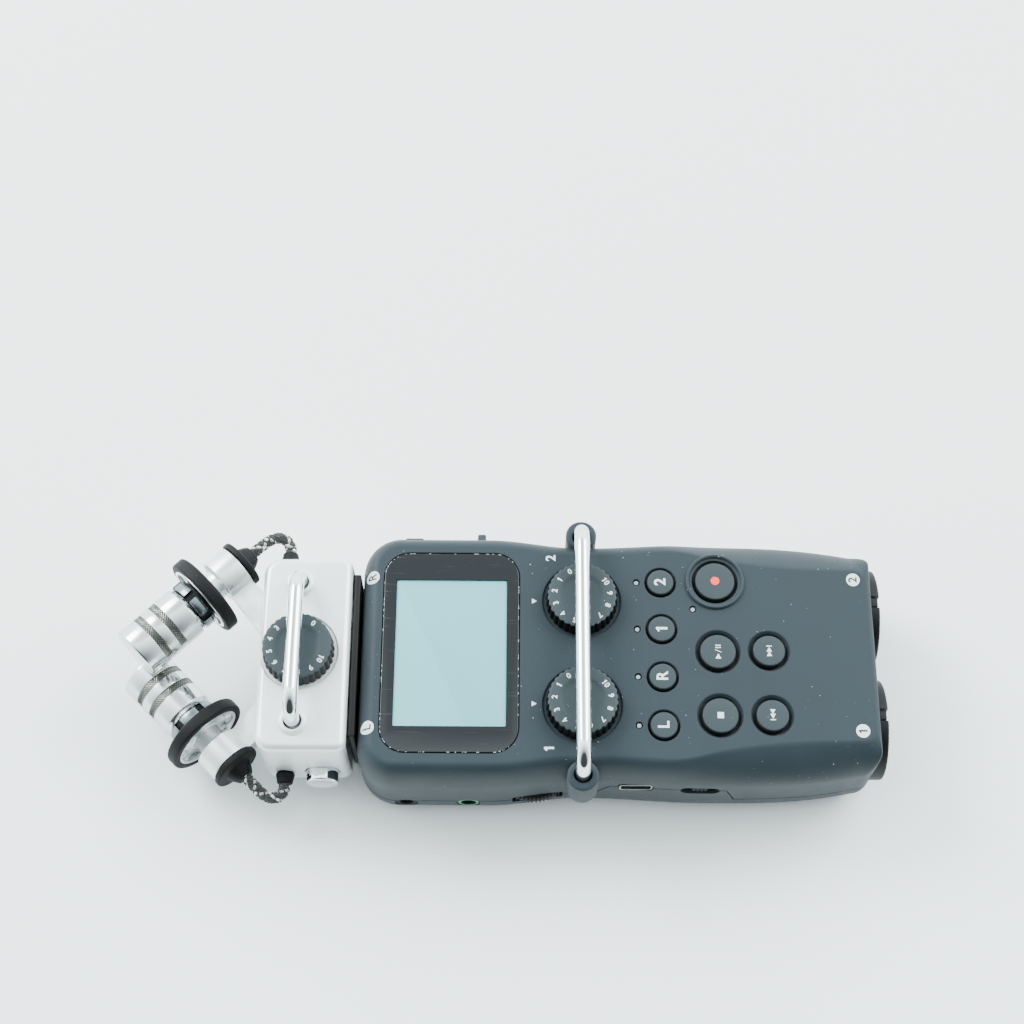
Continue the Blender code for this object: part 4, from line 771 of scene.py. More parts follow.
def front_rings(bottom):
    """Rings of the whole front, from the panel down to its parting line."""
    rings = [front_ring(0.0, 0.35)]
    rings += [front_ring(i / 16) for i in range(17)]
    edge = rings[-1]
    for z in (-9.4, -12.5, -16.5, bottom):
        rings.append([Vector((point.x, point.y, z)) for point in edge])
    return rings


def quarter(across, down, steps=14):
    """Insets and depths of a quarter ellipse, from its flat end to its upright end."""
    return [(across * (1 - math.sin(math.pi * i / steps / 2)), down * (1 - math.cos(math.pi * i / steps / 2)))
            for i in range(steps + 1)]


def upright(outline):
    """A cutter with an x, z outline through the near wall."""
    return slab_tool(outline, 27.5, 40.0, NEAR_WALL)


def hole(x, y, radius, depth=-4.0, lip=0.25, top=1.5, sides=64):
    """A cutter for a round hole in the panel, with a softened rim."""
    profile = [(0, top, 0), (radius + lip + 0.6, top, 0), (radius + lip + 0.6, 0.0, 0), (radius, 0.0, lip),
               (radius, depth, 0), (0, depth, 0)]
    return turned_tool(profile, frame_on((x, y, 0)), sides)


def side_cutters():
    """Openings that cross the parting line. Made once for each cover."""
    cutters = []
    for x in JACKS.values():
        place = frame_on((x, -33.4, JACK_Z), (0, -1, 0))
        cutters.append(turned_tool([(0, 6, 0), (3.0, 6, 0), (3.0, -6, 0), (0, -6, 0)], place, 48))
    pocket = [(0, 2.0, 0), (12.6, 2.0, 0), (12.6, -2.0, 0), (0, -2.0, 0)]
    cutters.append(turned_tool(pocket, frame_on((*WHEEL, SPLIT_Z)), 96))
    x, z = USB
    cutters.append(upright(rectangle(9.0, 4.5, 1.3, 6, (x, z))))
    x, z = SWITCH
    cutters.append(upright(rectangle(10.0, 4.6, 2.2, 8, (x, z))))
    for side in (-1, 1):
        place = frame_on((BODY_RIGHT, side * SOCKET_Y, SOCKET_Z), (1, 0, 0))
        cutters.append(turned_tool([(0, 5, 0), (13.1, 5, 0), (13.1, -5, 0), (0, -5, 0)], place, 96))
    opening = soft_box(bmesh.new(), (PANEL_LEFT - 5, -17.8, -25.4), (PANEL_LEFT + 4.2, 17.8, -12.6), 0.6)
    cutters.append(tool(opening))
    return cutters


def front_cutters():
    """Openings in the panel and the far side."""
    x, y, width, height, radius = WINDOW
    cutters = [tool(pillow(bmesh.new(), width + 0.6, height + 0.6, radius + 0.3, -1.6, 3.0, 0.05, (x, y)))]
    x, y, width, height = GLASS
    cutters.append(box_tool((x - 16, y - 21.3, -5), (x + 16, y + 21.3, 0), 0))
    for x, y, floor in DIALS.values():
        profile = [(0, 1.5, 0), (11.0, 1.5, 0), (11.0, 0, 0), (10.0, 0, 0.3), (10.0, floor, 0.25),
                   (3.4, floor, 0),
                   (3.4, -4, 0), (0, -4, 0)]
        cutters.append(turned_tool(profile, frame_on((x, y, 0)), 96))
    for y in TRACK_YS.values():
        cutters.append(hole(TRACK_X, y, 4.1, lip=0.2))
        cutters.append(hole(LAMP_X, y, 0.92, lip=0.1, sides=32))
    cutters.append(hole(*RECORD_LAMP, 0.92, lip=0.1, sides=32))
    profile = [(0, 2.0, 0), (6.0, 2.0, 0), (6.0, -4.0, 0), (0, -4.0, 0)]
    cutters.append(turned_tool(profile, frame_on((*RECORD, 0)), 80))
    for x, y, cap in TRANSPORT.values():
        rim = cap + 0.85
        profile = [(0, 1.5, 0), (rim + 1.6, 1.5, 0), (rim + 1.6, 0, 0), (rim + 0.55, 0, 0.4),
                   (rim, -0.7, 0.35),
                   (rim, -4, 0), (0, -4, 0)]
        cutters.append(turned_tool(profile, frame_on((x, y, 0)), 80))
    for side in (-1, 1):
        profile = [(0, 3, 0), (2.95, 3, 0), (2.95, 0.5, 0), (2.35, 0.5, 0.35), (2.35, -9.6, 0), (0, -9.6, 0)]
        cutters.append(turned_tool(profile, frame_on((BAR_X, side * BAR_LEG_Y, 0)), 40))
    cutters.append(box_tool((14.2, 28.0, -17.05), (41.8, 40.0, -9.25), 0))
    for x, half in ((-37.8, 2.7), (-20.0, 3.0)):
        place = NEAR_WALL
        outline = rectangle(2 * half, 3.2, 0.7, 6, (x, -7.0))
        cutters.append(slab_tool(outline, -40.0, -28.0, place))
    return cutters


def make_front_cover():
    """Front half of the casing, with its roll bar bosses and the ring round the record key."""
    cover = piece("casing_front", stack(bmesh.new(), front_rings(SPLIT_Z)), "soft_touch_coating")
    hollow = [casing_ring(WALL + inset, -WALL - depth) for inset, depth in quarter(*ROUNDING, 6)]
    hollow.append(casing_ring(WALL, -26.0))
    joins = []
    for side in (-1, 1):
        profile = [(0, 0.5, 0), (4.0, 0.5, 0.7), (4.0, -12.0, 3.2), (0, -12.0, 0)]
        joins.append(turned_tool(profile, frame_on((BAR_X, side * 32.4, 0)), 64))
    profile = [(5.4, -0.3, 0), (6.5, 0.1, 0.3), (6.9, 0.75, 0.5), (7.55, 0.7, 0.5), (7.85, -0.5, 0),
               (7.9, -1.9, 0),
               (5.4, -1.9, 0)]
    joins.append(turned_tool(profile, frame_on((*RECORD, 0)), 80))
    foot, rise, fall, end = PORT_PANEL
    notch = [(foot, -25.0), (foot, SPLIT_Z), (rise, PORT_PANEL_TOP), (fall, PORT_PANEL_TOP), (end, SPLIT_Z),
             (end, -25.0)]
    inner = ring_tool(hollow)
    carve(cover, [inner])
    carve(cover, [upright(notch)] + side_cutters() + front_cutters(), joins)
    ride(cover, "main_unit", "front_cover", slot="soft_touch_plastic")


def make_rear_cover():
    """Rear half of the casing, with its raised port panel."""
    floor = BODY_FLOOR
    rings = [casing_ring(0.12, -12.8), casing_ring(0.0, -12.92), casing_ring(0.0, -17.0)]
    rings += [casing_ring(inset, floor + depth) for inset, depth in reversed(quarter(*BACK_ROUNDING))]
    cover = piece("casing_rear", stack(bmesh.new(), rings), "soft_touch_coating")
    hollow = [casing_ring(WALL, -5.0)]
    hollow += [casing_ring(WALL + inset, floor + WALL + depth) for inset,
               depth in reversed(quarter(*BACK_ROUNDING, 6))]
    inner = ring_tool(hollow)
    carve(cover, [inner])
    gap = 0.3
    cutters = side_cutters()
    foot, rise, fall, end = PORT_PANEL
    split = SPLIT_Z - gap
    panel_top = PORT_PANEL_TOP - gap
    before = [(-60, split), (foot + gap, split), (rise + gap, panel_top), (rise + gap, 0), (-60, 0)]
    after = [(90, split), (90, 0), (fall - gap, 0), (fall - gap, panel_top), (end - gap, split)]
    cutters += [upright(before), upright(after)]
    cutters.append(box_tool((-60, -28.0, SPLIT_Z - gap), (90, 40, 0), 0))
    cutters.append(box_tool((2.2, -16.3, floor - 1), (62.5, 16.3, floor + 1.5), 0))
    cutters.append(box_tool((7.0, -15.0, floor - 1), (61.5, 15.0, floor + 5), 0))
    place = frame_on((-4.0, 0, floor), (0, 0, -1))
    cutters.append(turned_tool([(0, 1, 0), (5.1, 1, 0), (5.1, -5, 0), (0, -5, 0)], place, 64))
    for i in range(5):
        y = 12.0 + (i - 2) * 2.6
        cutters.append(box_tool((-30, y - 0.5, floor - 1), (-20, y + 0.5, floor + 4), 0.45, 3))
    carve(cover, cutters)
    ride(cover, "main_unit", "rear_cover", slot="soft_touch_plastic")


def make_battery_door():
    """Battery door with finger grips."""
    bm = soft_box(bmesh.new(), (6.5, -16.0, BODY_FLOOR), (62.2, 16.0, BODY_FLOOR + 1.2), 0.25)
    door = piece("battery_cover", bm, "soft_touch_coating")
    grips = []
    for i in range(6):
        x = 12.0 + 1.5 * i
        grips.append(box_tool((x - 0.35, -5.0, BODY_FLOOR - 1), (x + 0.35, 5.0, BODY_FLOOR + 0.35),
                                   0.3))
    carve(door, grips)
    ride(door, "battery_door", "battery_door", slot="soft_touch_plastic")


def make_card_cover():
    """Cover of the card slot, cut from the casing's own surface."""
    cover = piece("card_slot_cover", stack(bmesh.new(), front_rings(-21.0)), "soft_touch_coating")
    hollow = [casing_ring(1.2 + inset, -1.2 - depth) for inset, depth in quarter(*ROUNDING, 6)]
    hollow.append(casing_ring(1.2, -26.0))
    carve(cover, [ring_tool(hollow)])
    place = NEAR_WALL
    keep = slab_tool(rectangle(27.0, 7.1, 0.5, 4, (28.0, -13.2)), -40.0, -27.0, place)
    modifier = cover.modifiers.new("keep", "BOOLEAN")
    modifier.operation = "INTERSECT"
    modifier.object = keep
    carve(cover, [box_tool((26.0, 31.5, -17.5), (30.0, 35.0, -16.3), 0.3)])
    bpy.data.objects.remove(keep, do_unlink=True)
    ride(cover, "card_cover", "card_cover", slot="soft_touch_plastic")


# ---------------------------------------------------------------- display

def make_window():
    """Gloss plate over the display, open over its clear area."""
    x, y, width, height, radius = WINDOW
    window = piece("window_plate", pillow(bmesh.new(), width, height, radius, -1.3, -0.1, 0.18, (x, y),
                                          steps=14),
                   "printed_acrylic")
    x, y, width, height = GLASS
    opening = slab(bmesh.new(), rectangle(width, height, 0.5, 4, (x, y)), -3.0, 1.0)
    carve(window, [tool(opening)])
    ride(window, "main_unit", "display_window", slot="gloss_window")


def make_edge_chips():
    """Small pale flecks along the window's worn edge: chips in it, coloured light as painted glints."""
    x, y, width, height, radius = WINDOW
    outline = rectangle(width - 0.1, height - 0.1, radius, 14, (x, y))
    chance = random.Random(11)
    bm = bmesh.new()
    for i, (px, py) in enumerate(outline):
        qx, qy = outline[(i + 1) % len(outline)]
        run = Vector((qx - px, qy - py, 0))
        for _ in range(max(1, int(run.length / 0.9))):
            if chance.random() > 0.42:
                continue
            t = chance.random()
            long = chance.uniform(0.06, 0.34)
            spot = Vector((px, py, -0.16)) + run * t
            turn = math.atan2(run.y, run.x)
            place = Matrix.Translation(spot) @ Matrix.Rotation(turn, 4, "Z")
            soft_box(bm, (-long, -0.035, -0.03), (long, 0.035, 0.06), 0, place=place)
    # The flecks take the pale printing ink: painted glints where the chipped edge would catch the light
    ride(piece("window_edge_chip_glints", bm, "printed_ink"), "main_unit", slot="gloss_window")


def make_lcd():
    """Display module and its panel."""
    x, y, width, height = GLASS
    bm = soft_box(bmesh.new(), (x - 15.5, y - 20.8, -6.0), (x + 15.5, y + 20.8, -1.9), 0.1)
    module = piece("lcd_module_body", bm, "black_nylon")
    ride(module, "main_unit", "lcd_module", slot="lcd_glass")
    bm = pillow(bmesh.new(), width - 0.1, height - 0.1, 0.45, -1.85, -0.55, 0.06, (x, y), steps=4)
    ride(piece("lcd_panel", bm, "lcd_film"), "main_unit", slot="lcd_glass")


# ---------------------------------------------------------------- dials and keys

def make_dial(name, body, x, y, floor, first_angle, step):
    """A dial with a scalloped grip, a dished centre and numbers from 0 to 10."""
    s = sizes()
    radius = s.dial_radius * 1000
    bottom = floor + 0.3
    top = floor + 0.7 + s.dial_height * 1000
    ribs = counts().dial_ribs
    # Radius, height, and how deep the grip's scallops bite there
    profile = [(0.001, top - 0.3, 0), (4.6, top - 0.3, 0), (5.2, top - 0.22, 0), (5.75, top - 0.02, 0),
               (6.1, top, 0),
               (7.9, top, 0), (8.5, top, 0.2), (8.75, top - 0.08, 0.26), (radius, top - 0.3, 0.34),
               (9.0, top - 1.4, 0.42), (9.2, bottom + 0.4, 0.45), (9.2, bottom, 0.35), (3.0, bottom, 0),
               (3.0, bottom - 4.5, 0)]
    sides = ribs * 12
    rings = []
    for r, z, bite in profile:
        ring = []
        for i in range(sides):
            wave = 0.5 + 0.5 * math.cos(2 * math.pi * ribs * i / sides)
            reach = r - bite * wave ** 2
            angle = 2 * math.pi * i / sides
            ring.append(Vector((x + reach * math.cos(angle), y + reach * math.sin(angle), z)))
        rings.append(ring)
    cap = piece(name + "_cap", stack(bmesh.new(), rings), "moulded_dial", 40)
    cap.data.materials.append(MATERIALS["black_nylon"])
    for face in cap.data.polygons:
        if face.center.z < OFFSET.z + (top - 0.31) / 1000:
            face.material_index = 1
    ride(cap, body, name, slot="dial_plastic")
    marks = []
    for k in range(11):
        angle = math.radians(first_angle + step * k)
        spot = Vector((x + 7.05 * math.cos(angle), y + 7.05 * math.sin(angle), top + 0.003))
        marks.append((str(k), 1.42, spot, math.degrees(angle) - 90))
    ride(lettering(name + "_numbers", marks, "printed_ink"), body, slot="light_guide")


def glyphs(name, text, height):
    """A flat mesh of one line of text, centred, in bold strokes; the figure one has its own shape."""
    if text in SHAPES:
        bm = bmesh.new()
        for outline in SHAPES[text]:
            bm.faces.new([bm.verts.new((u * height, v * height, 0.0)) for u, v in outline])
        mesh = bpy.data.meshes.new(name)
        bm.to_mesh(mesh)
        bm.free()
        return mesh
    curve = bpy.data.curves.new(name, "FONT")
    curve.body = text
    curve.size = height * 1.38
    curve.align_x = "CENTER"
    curve.align_y = "CENTER"
    curve.offset = height * 0.03
    curve.resolution_u = 4
    letter = link(name, curve)
    bpy.context.view_layer.update()
    mesh = bpy.data.meshes.new_from_object(letter.evaluated_get(bpy.context.evaluated_depsgraph_get()))
    bpy.data.objects.remove(letter, do_unlink=True)
    return mesh


def lettering(name, marks, material, surface=None, lift=0.0):
    """Numbers, letters and small shapes as thin plates: each mark is (text, height, place, turn in degrees).

    Laid on a surface, every point drops onto it along z.
    """
    depth = sizes().print_depth * 1000
    joined = bmesh.new()
    for text, height, spot, turn in marks:
        place = Matrix.Translation(spot) @ Matrix.Rotation(math.radians(turn), 4, "Z")
        if text == "10":
            parts = [("1", -0.36), ("0", 0.36)]
        else:
            parts = [(text, 0.0)]
        for part, shift in parts:
            mesh = glyphs(name, part, height)
            mesh.transform(place @ Matrix.Translation((shift * height, 0, 0)))
            joined.from_mesh(mesh)
            bpy.data.meshes.remove(mesh)
    bmesh.ops.remove_doubles(joined, verts=joined.verts, dist=0.0005)
    bmesh.ops.triangulate(joined, faces=joined.faces)
    if surface is not None:
        bmesh.ops.subdivide_edges(joined, edges=[e for e in joined.edges if e.calc_length() > 0.5], cuts=3,
                                  use_grid_fill=True)
        bmesh.ops.triangulate(joined, faces=joined.faces)
        tree = BVHTree.FromObject(surface, bpy.context.evaluated_depsgraph_get())
        for vert in joined.verts:
            start = PLACE @ Vector((vert.co.x, vert.co.y, 12.0))
            hit = tree.ray_cast(start, Vector((0, 0, -1)))[0]
            if hit is not None:
                vert.co.z = (hit.z - OFFSET.z) * 1000 + 0.004 + lift
    walls = bmesh.ops.extrude_face_region(joined, geom=joined.faces[:])
    for item in walls["geom"]:
        if isinstance(item, bmesh.types.BMVert):
            item.co.z += depth
    return piece(name, joined, material)


def circle(radius, steps=40, centre=(0.0, 0.0)):
    """Points round a circle."""
    return [(centre[0] + radius * math.cos(2 * math.pi * i / steps), centre[1]
             + radius * math.sin(2 * math.pi * i / steps)) for i in range(steps)]


def wedges(radius, count=40):
    """A disc as thin wedges, which can follow a curved surface."""
    rim = circle(radius, count)
    half = circle(radius / 2, count)
    outlines = []
    for i in range(count):
        j = (i + 1) % count
        outlines.append([rim[i], rim[j], half[j], half[i]])
        outlines.append([half[i], half[j], (0.0, 0.0)])
    return outlines


SHAPES = {
    "1": [[(-0.09, -0.5), (0.13, -0.5), (0.13, 0.5), (-0.03, 0.5), (-0.3, 0.3), (-0.22, 0.16),
           (-0.09, 0.24)]],
    "dot": [circle(1.0)],
    "disc": wedges(1.0),
    "pointer": [[(-0.5, 0.4), (0.5, 0.4), (0.0, -0.5)]],
    "square": [[(-0.5, -0.5), (0.5, -0.5), (0.5, 0.5), (-0.5, 0.5)]],
    "arrow": [[(-0.45, -0.5), (0.45, 0.0), (-0.45, 0.5)]],
    "bar": [[(-0.09, -0.5), (0.09, -0.5), (0.09, 0.5), (-0.09, 0.5)]],
    "slash": [[(-0.3, -0.6), (-0.17, -0.6), (0.3, 0.6), (0.17, 0.6)]],
}


def darken_below(obj, level, material):
    """Gives another finish to the faces under a height; used for painted shade on the skirt of a key and the
    stem of a lamp down in their holes.
    """
    obj.data.materials.append(MATERIALS[material])
    for face in obj.data.polygons:
        if face.center.z < OFFSET.z + level / 1000:
            face.material_index = len(obj.data.materials) - 1


def key(name, x, y, cap, well, top, marks, mark_material="printed_ink", dome=0.12):
    """A round key with a slightly domed face, and its printed mark."""
    flange = well + 0.4
    profile = [(0, top + dome * 0.2, 0), (cap * 0.5, top + dome * 0.12, 0), (cap - 0.1, top - 0.02, 0.3),
               (cap, top - 0.5, 0), (cap, -2.5, 0), (flange, -2.5, 0), (flange, -3.4, 0), (1.2, -3.4, 0),
               (1.2, -5.1, 0), (0, -5.1, 0)]
    body = turned(name + "_cap", profile, "silicone_key", (x, y, 0), sides=72)
    # The key's skirt, down in its well, is painted near black: painted shade in the gap round the key
    darken_below(body, top - 0.42, "painted_gap_shade")
    ride(body, name, name, slot="dial_plastic")
    if marks:
        placed = [(text, height, Vector((x + u, y + v, top + 0.035)), turn) for text, height, u, v,
                  turn in marks]
        ride(lettering(name + "_mark", placed, mark_material), name, slot="light_guide")


# ---------------------------------------------------------------- operators

class RECORDER_OT_stage(bpy.types.Operator):
    """Floor, studio lights and camera"""

    bl_idname = "recorder.stage"
    bl_label = "Stage"

    def execute(self, context):
        scene = context.scene
        world = bpy.data.worlds.new("studio")
        world.use_nodes = True
        tree = world.node_tree
        background = tree.nodes["Background"]
        toward = add(tree, "ShaderNodeTexCoord").outputs["Generated"]
        background.inputs["Strength"].default_value = 4.5
        dark = None
        # A pale tent with darker openings: low in front, and overhead behind the object
        for spot, wide, near, deep in (((0.0, -0.93, 0.3), 0.1, 0.8, 0.98),
                                       ((-0.02, 0.44, 0.9), 0.9, 0.98, 0.6)):
            dot = add(tree, "ShaderNodeVectorMath", {"operation": "DOT_PRODUCT",
                                                     1: Vector(spot).normalized()},
                      {0: toward}).outputs["Value"]
            lobe = span(tree, dot, wide, near, 0.0, deep)
            dark = lobe if dark is None else add(tree, "ShaderNodeMath", {"operation": "MAXIMUM"},
                                                 {0: dark, 1: lobe}).outputs[0]
        tree.links.new(tint(tree, dark, (0.86, 0.97, 1.0), (0.0, 0.0, 0.0)), background.inputs["Color"])
        scene.world = world
        bm = bmesh.new()
        bmesh.ops.create_grid(bm, x_segments=1, y_segments=1, size=3.0)
        bm.transform(Matrix.Translation((0, 0, -0.0004)))
        mesh = bpy.data.meshes.new("floor")
        bm.to_mesh(mesh)
        bm.free()
        floor = link("floor", mesh)
        finish("studio_paper", linear("fafdfd"), 0.9)
        mesh.materials.append(MATERIALS["studio_paper"])
        for name, spot, aim, width, power in (
            ("key", (-0.7, 0.5, 0.75), (0, 0, 0), 0.5, 15.0),
            ("fill", (0.75, 0.5, 0.8), (0, 0, 0.02), 0.6, 11.0),
        ):
            light = bpy.data.lights.new(name, "AREA")
            light.shape = "SQUARE"
            light.size = width
            light.energy = power
            lamp = bpy.data.objects.new(name, light)
            lamp.location = spot
            lamp.rotation_euler = (Vector(aim) - Vector(spot)).to_track_quat("-Z", "Y").to_euler()
            scene.collection.objects.link(lamp)
        camera_data = bpy.data.cameras.new("camera")
        camera_data.sensor_width = 36.0
        camera_data.lens = 65.65
        camera_data.clip_start = 0.01
        camera = bpy.data.objects.new("camera", camera_data)
        camera.location = PLACE @ Vector((-10.235, -164.556, 447.363))
        camera.rotation_euler = [math.radians(a) for a in (24.480, 0.0501, 0.4107)]
        scene.collection.objects.link(camera)
        scene.camera = camera
        return {"FINISHED"}


class RECORDER_OT_casing(bpy.types.Operator):
    """Front and rear covers, battery cover and card cover"""

    bl_idname = "recorder.casing"
    bl_label = "Casing"

    def execute(self, context):
        make_front_cover()
        make_rear_cover()
        make_battery_door()
        make_card_cover()
        return {"FINISHED"}


class RECORDER_OT_display(bpy.types.Operator):
    """Display window and the display behind it"""

    bl_idname = "recorder.display"
    bl_label = "Display"

    def execute(self, context):
        make_window()
        make_edge_chips()
        make_lcd()
        return {"FINISHED"}


class RECORDER_OT_dials(bpy.types.Operator):
    """Two level dials and the capsule's dial"""

    bl_idname = "recorder.dials"
    bl_label = "Dials"

    def execute(self, context):
        for name, (x, y, floor) in DIALS.items():
            make_dial(name, name, x, y, floor, {"input_dial_1": 120.0, "input_dial_2": 116.0}[name], 27.6)
        make_dial("capsule_dial", "capsule_dial", *CAPSULE_DIAL, 57.0, 27.3)
        return {"FINISHED"}


class RECORDER_OT_keys(bpy.types.Operator):
    """Track keys, record key, transport keys and their lamps"""

    bl_idname = "recorder.keys"
    bl_label = "Keys"

    def execute(self, context):
        cap = sizes().track_key * 1000
        for letter, y in TRACK_YS.items():
            marks = [(letter.upper(), 2.9, 0, 0, 90)]
            key("track_button_" + letter, TRACK_X, y, cap, 4.05, 0.5, marks)
        key("record_button", *RECORD, 5.1, 5.85, 0.6, [("dot", 1.15, 0, 0, 0)], "record_ink", dome=-0.2)
        icons = {
            "play_button": [("arrow", 1.5, 0, -1.3, 90), ("slash", 1.3, 0, 0.1, 90), ("bar", 1.4, 0, 1.0, 90),
                            ("bar", 1.4, 0, 1.6, 90)],
            "stop_button": [("square", 1.6, 0, 0, 0)],
            "forward_button": [("arrow", 1.4, 0, -0.9, 90), ("arrow", 1.4, 0, 0.3, 90),
                               ("bar", 1.4, 0, 1.2, 90)],
            "rewind_button": [("arrow", 1.4, 0, 0.9, 270), ("arrow", 1.4, 0, -0.3, 270),
                              ("bar", 1.4, 0, -1.2, 90)],
        }
        for name, (x, y, radius) in TRANSPORT.items():
            key(name, x, y, radius, radius + 0.85, 0.6, icons[name])
        bm = soft_box(bmesh.new(), (19.2, -20.79, -3.7), (21.2, 20.79, -2.5), 0.1)
        for y in TRACK_YS.values():
            lathe(bm, [(0, -0.3, 0), (0.6, -0.35, 0.15), (0.6, -2.6, 0), (0, -2.6, 0)],
                  frame_on((LAMP_X, y, 0)), 24)
        guide = piece("lamp_guide", bm, "frosted_acrylic")
        # The stems down in their holes are painted near black: painted shade inside the holes
        darken_below(guide, -0.6, "painted_gap_shade")
        ride(guide, "main_unit", "track_light_guide", slot="light_guide")
        profile = [(0, -0.3, 0), (0.6, -0.35, 0.15), (0.6, -2.5, 0), (1.4, -2.5, 0), (1.4, -3.7, 0),
                   (0, -3.7, 0)]
        lamp = turned("record_lamp", profile, "frosted_acrylic", (*RECORD_LAMP, 0), sides=24)
        # The lamp's stem down in its hole is painted near black: painted shade inside the hole
        darken_below(lamp, -0.6, "painted_gap_shade")
        ride(lamp, "main_unit", "record_led", slot="light_guide")
        return {"FINISHED"}


def bar_route(x, leg_y, foot):
    """Centre line of a roll bar: legs, bends and a straight top."""
    height = sizes().bar_height * 1000
    bend = sizes().bar_bend * 1000
    arc = [(leg_y - bend + bend * math.cos(math.radians(a)), height - bend + bend * math.sin(math.radians(a)))
           for a in range(0, 91, 5)]
    points = [(x, -leg_y, foot)] + [(x, -y, z) for y, z in arc]
    points += [(x, y, z) for y, z in reversed(arc)] + [(x, leg_y, foot)]
    return [Vector(p) for p in points]


class RECORDER_OT_bars(bpy.types.Operator):
    """Chrome roll bars over the dials"""

    bl_idname = "recorder.bars"
    bl_label = "Roll bars"

    def execute(self, context):
        radius = sizes().bar_diameter * 500
        bar = piece("main_bar", pipe(bmesh.new(), bar_route(BAR_X, BAR_LEG_Y, -9.0), radius, 40),
                    "chrome_plate")
        ride(bar, "main_unit", "roll_bar", slot="polished_chrome")
        route = bar_route(CAPSULE_BAR_X, CAPSULE_BAR_LEG_Y, -6.0)
        bar = piece("capsule_bar", pipe(bmesh.new(), route, radius, 40), "chrome_plate")
        ride(bar, "capsule", "capsule_roll_bar", slot="polished_chrome")
        return {"FINISHED"}


class RECORDER_OT_near_side(bpy.types.Operator):
    """Headphone wheel, jacks, USB port and power switch"""

    bl_idname = "recorder.near_side"
    bl_label = "Near side"

    def execute(self, context):
        profile = [(0, 7.1, 0), (1.5, 7.1, 0), (1.5, 1.6, 0), (11.4, 1.6, 0.2), (11.55, 1.3, 0),
                   (11.55, -1.3, 0),
                   (11.4, -1.6, 0.2), (0, -1.6, 0)]
        wheel = turned("wheel_core", profile, "black_nylon", (*WHEEL, SPLIT_Z), sides=96)
        ride(wheel, "volume_wheel", "volume_wheel", slot="black_plastic")
        tooth = [(11.4, -0.3), (11.98, -0.12), (11.98, 0.12), (11.4, 0.3)]
        rings = [[Vector((x - inset, y, z)) for x, y in tooth]
                 for z, inset in ((1.55, 0.35), (1.25, 0.0), (-1.25, 0.0), (-1.55, 0.35))]
        teeth = ring_of("wheel_teeth", stack(bmesh.new(), rings), counts().wheel_teeth, "black_nylon",
                        (*WHEEL, SPLIT_Z), angle=20)
        ride(teeth, "volume_wheel", slot="black_plastic")
        for name, x in JACKS.items():
            finish_name = "green_nylon" if name == "phone_jack" else "black_nylon"
            bm = soft_box(bmesh.new(), (x - 4, -29.3, JACK_Z - 3), (x + 4, -22.2, JACK_Z + 3), 0.2)
            body = piece(name + "_body", bm, "black_nylon")
            place = frame_on((x, -33.2, JACK_Z), (0, -1, 0))
            collar = lathe(bmesh.new(), [(0, 0, 0), (2.7, 0, 0.3), (2.7, -6, 0), (0, -6, 0)], place, 48)
            bore = lathe(bmesh.new(), [(0, 1, 0), (2.1, 1, 0), (2.1, 0, 0), (1.8, -0.3, 0), (1.8, -10, 0),
                                       (0, -10, 0)],
                         place, 48)
            collar_tool = tool(collar)
            collar_tool.data.materials.clear()
            collar_tool.data.materials.append(MATERIALS[finish_name])
            carve(body, [tool(bore)], [collar_tool])
            ride(body, "main_unit", name, slot="black_plastic")
            sleeve = [(1.78, -0.9, 0), (1.78, -8.0, 0), (1.6, -8.0, 0), (1.6, -0.9, 0)]
            liner = turned(name + "_contact", sleeve, "nickel_plate", (x, -33.2, JACK_Z), (0, -1, 0), 40)
            ride(liner, "main_unit", slot="plated_steel")
        self.make_usb()
        self.make_switch()
        return {"FINISHED"}

    def make_usb(self):
        """USB port: a hollow shell with a tongue and contacts."""
        x, z = USB
        face = -31.75
        place = NEAR_WALL
        outer = rectangle(8.4, 3.9, 1.0, 6, (x, z))
        shell = piece("usb_shell", slab(bmesh.new(), outer, 22.8, -face, place), "nickel_plate")
        mouth = rectangle(7.6, 3.1, 0.7, 6, (x, z))
        carve(shell, [slab_tool(mouth, 23.8, 40.0, place)])
        ride(shell, "main_unit", "usb_port", slot="plated_steel")
        tongue = soft_box(bmesh.new(), (x - 2.9, face + 0.9, z + 0.1), (x + 2.9, face + 7.8, z + 0.8), 0.1)
        for i in range(5):
            soft_box(tongue, (x - 2.3 + i * 1.02, face + 1.0, z - 0.05),
                     (x - 1.85 + i * 1.02, face + 6.0, z + 0.15), 0)
        ride(piece("usb_tongue", tongue, "black_nylon"), "main_unit", slot="black_plastic")

    def make_switch(self):
        """Slide switch with a ribbed knob."""
        x, z = SWITCH
        bm = soft_box(bmesh.new(), (x - 6.5, -29.4, z - 3.1), (x + 6.5, -28.4, z + 3.1), 0.1)
        base = piece("switch_slide", bm, "black_nylon")
        place = NEAR_WALL
        knob = pillow(bmesh.new(), 4.2, 3.6, 1.7, 28.9, 32.05, 0.35, (x, z), place)
        ribs = []
        for i in (-1, 0, 1):
            groove = soft_box(bmesh.new(), (x + i * 1.0 - 0.22, -33.0, z - 2.5),
                              (x + i * 1.0 + 0.22, -31.7, z + 2.5), 0)
            ribs.append(tool(groove))
        carve(base, ribs, [tool(knob)])
        ride(base, "power_switch", "power_switch", slot="black_plastic")


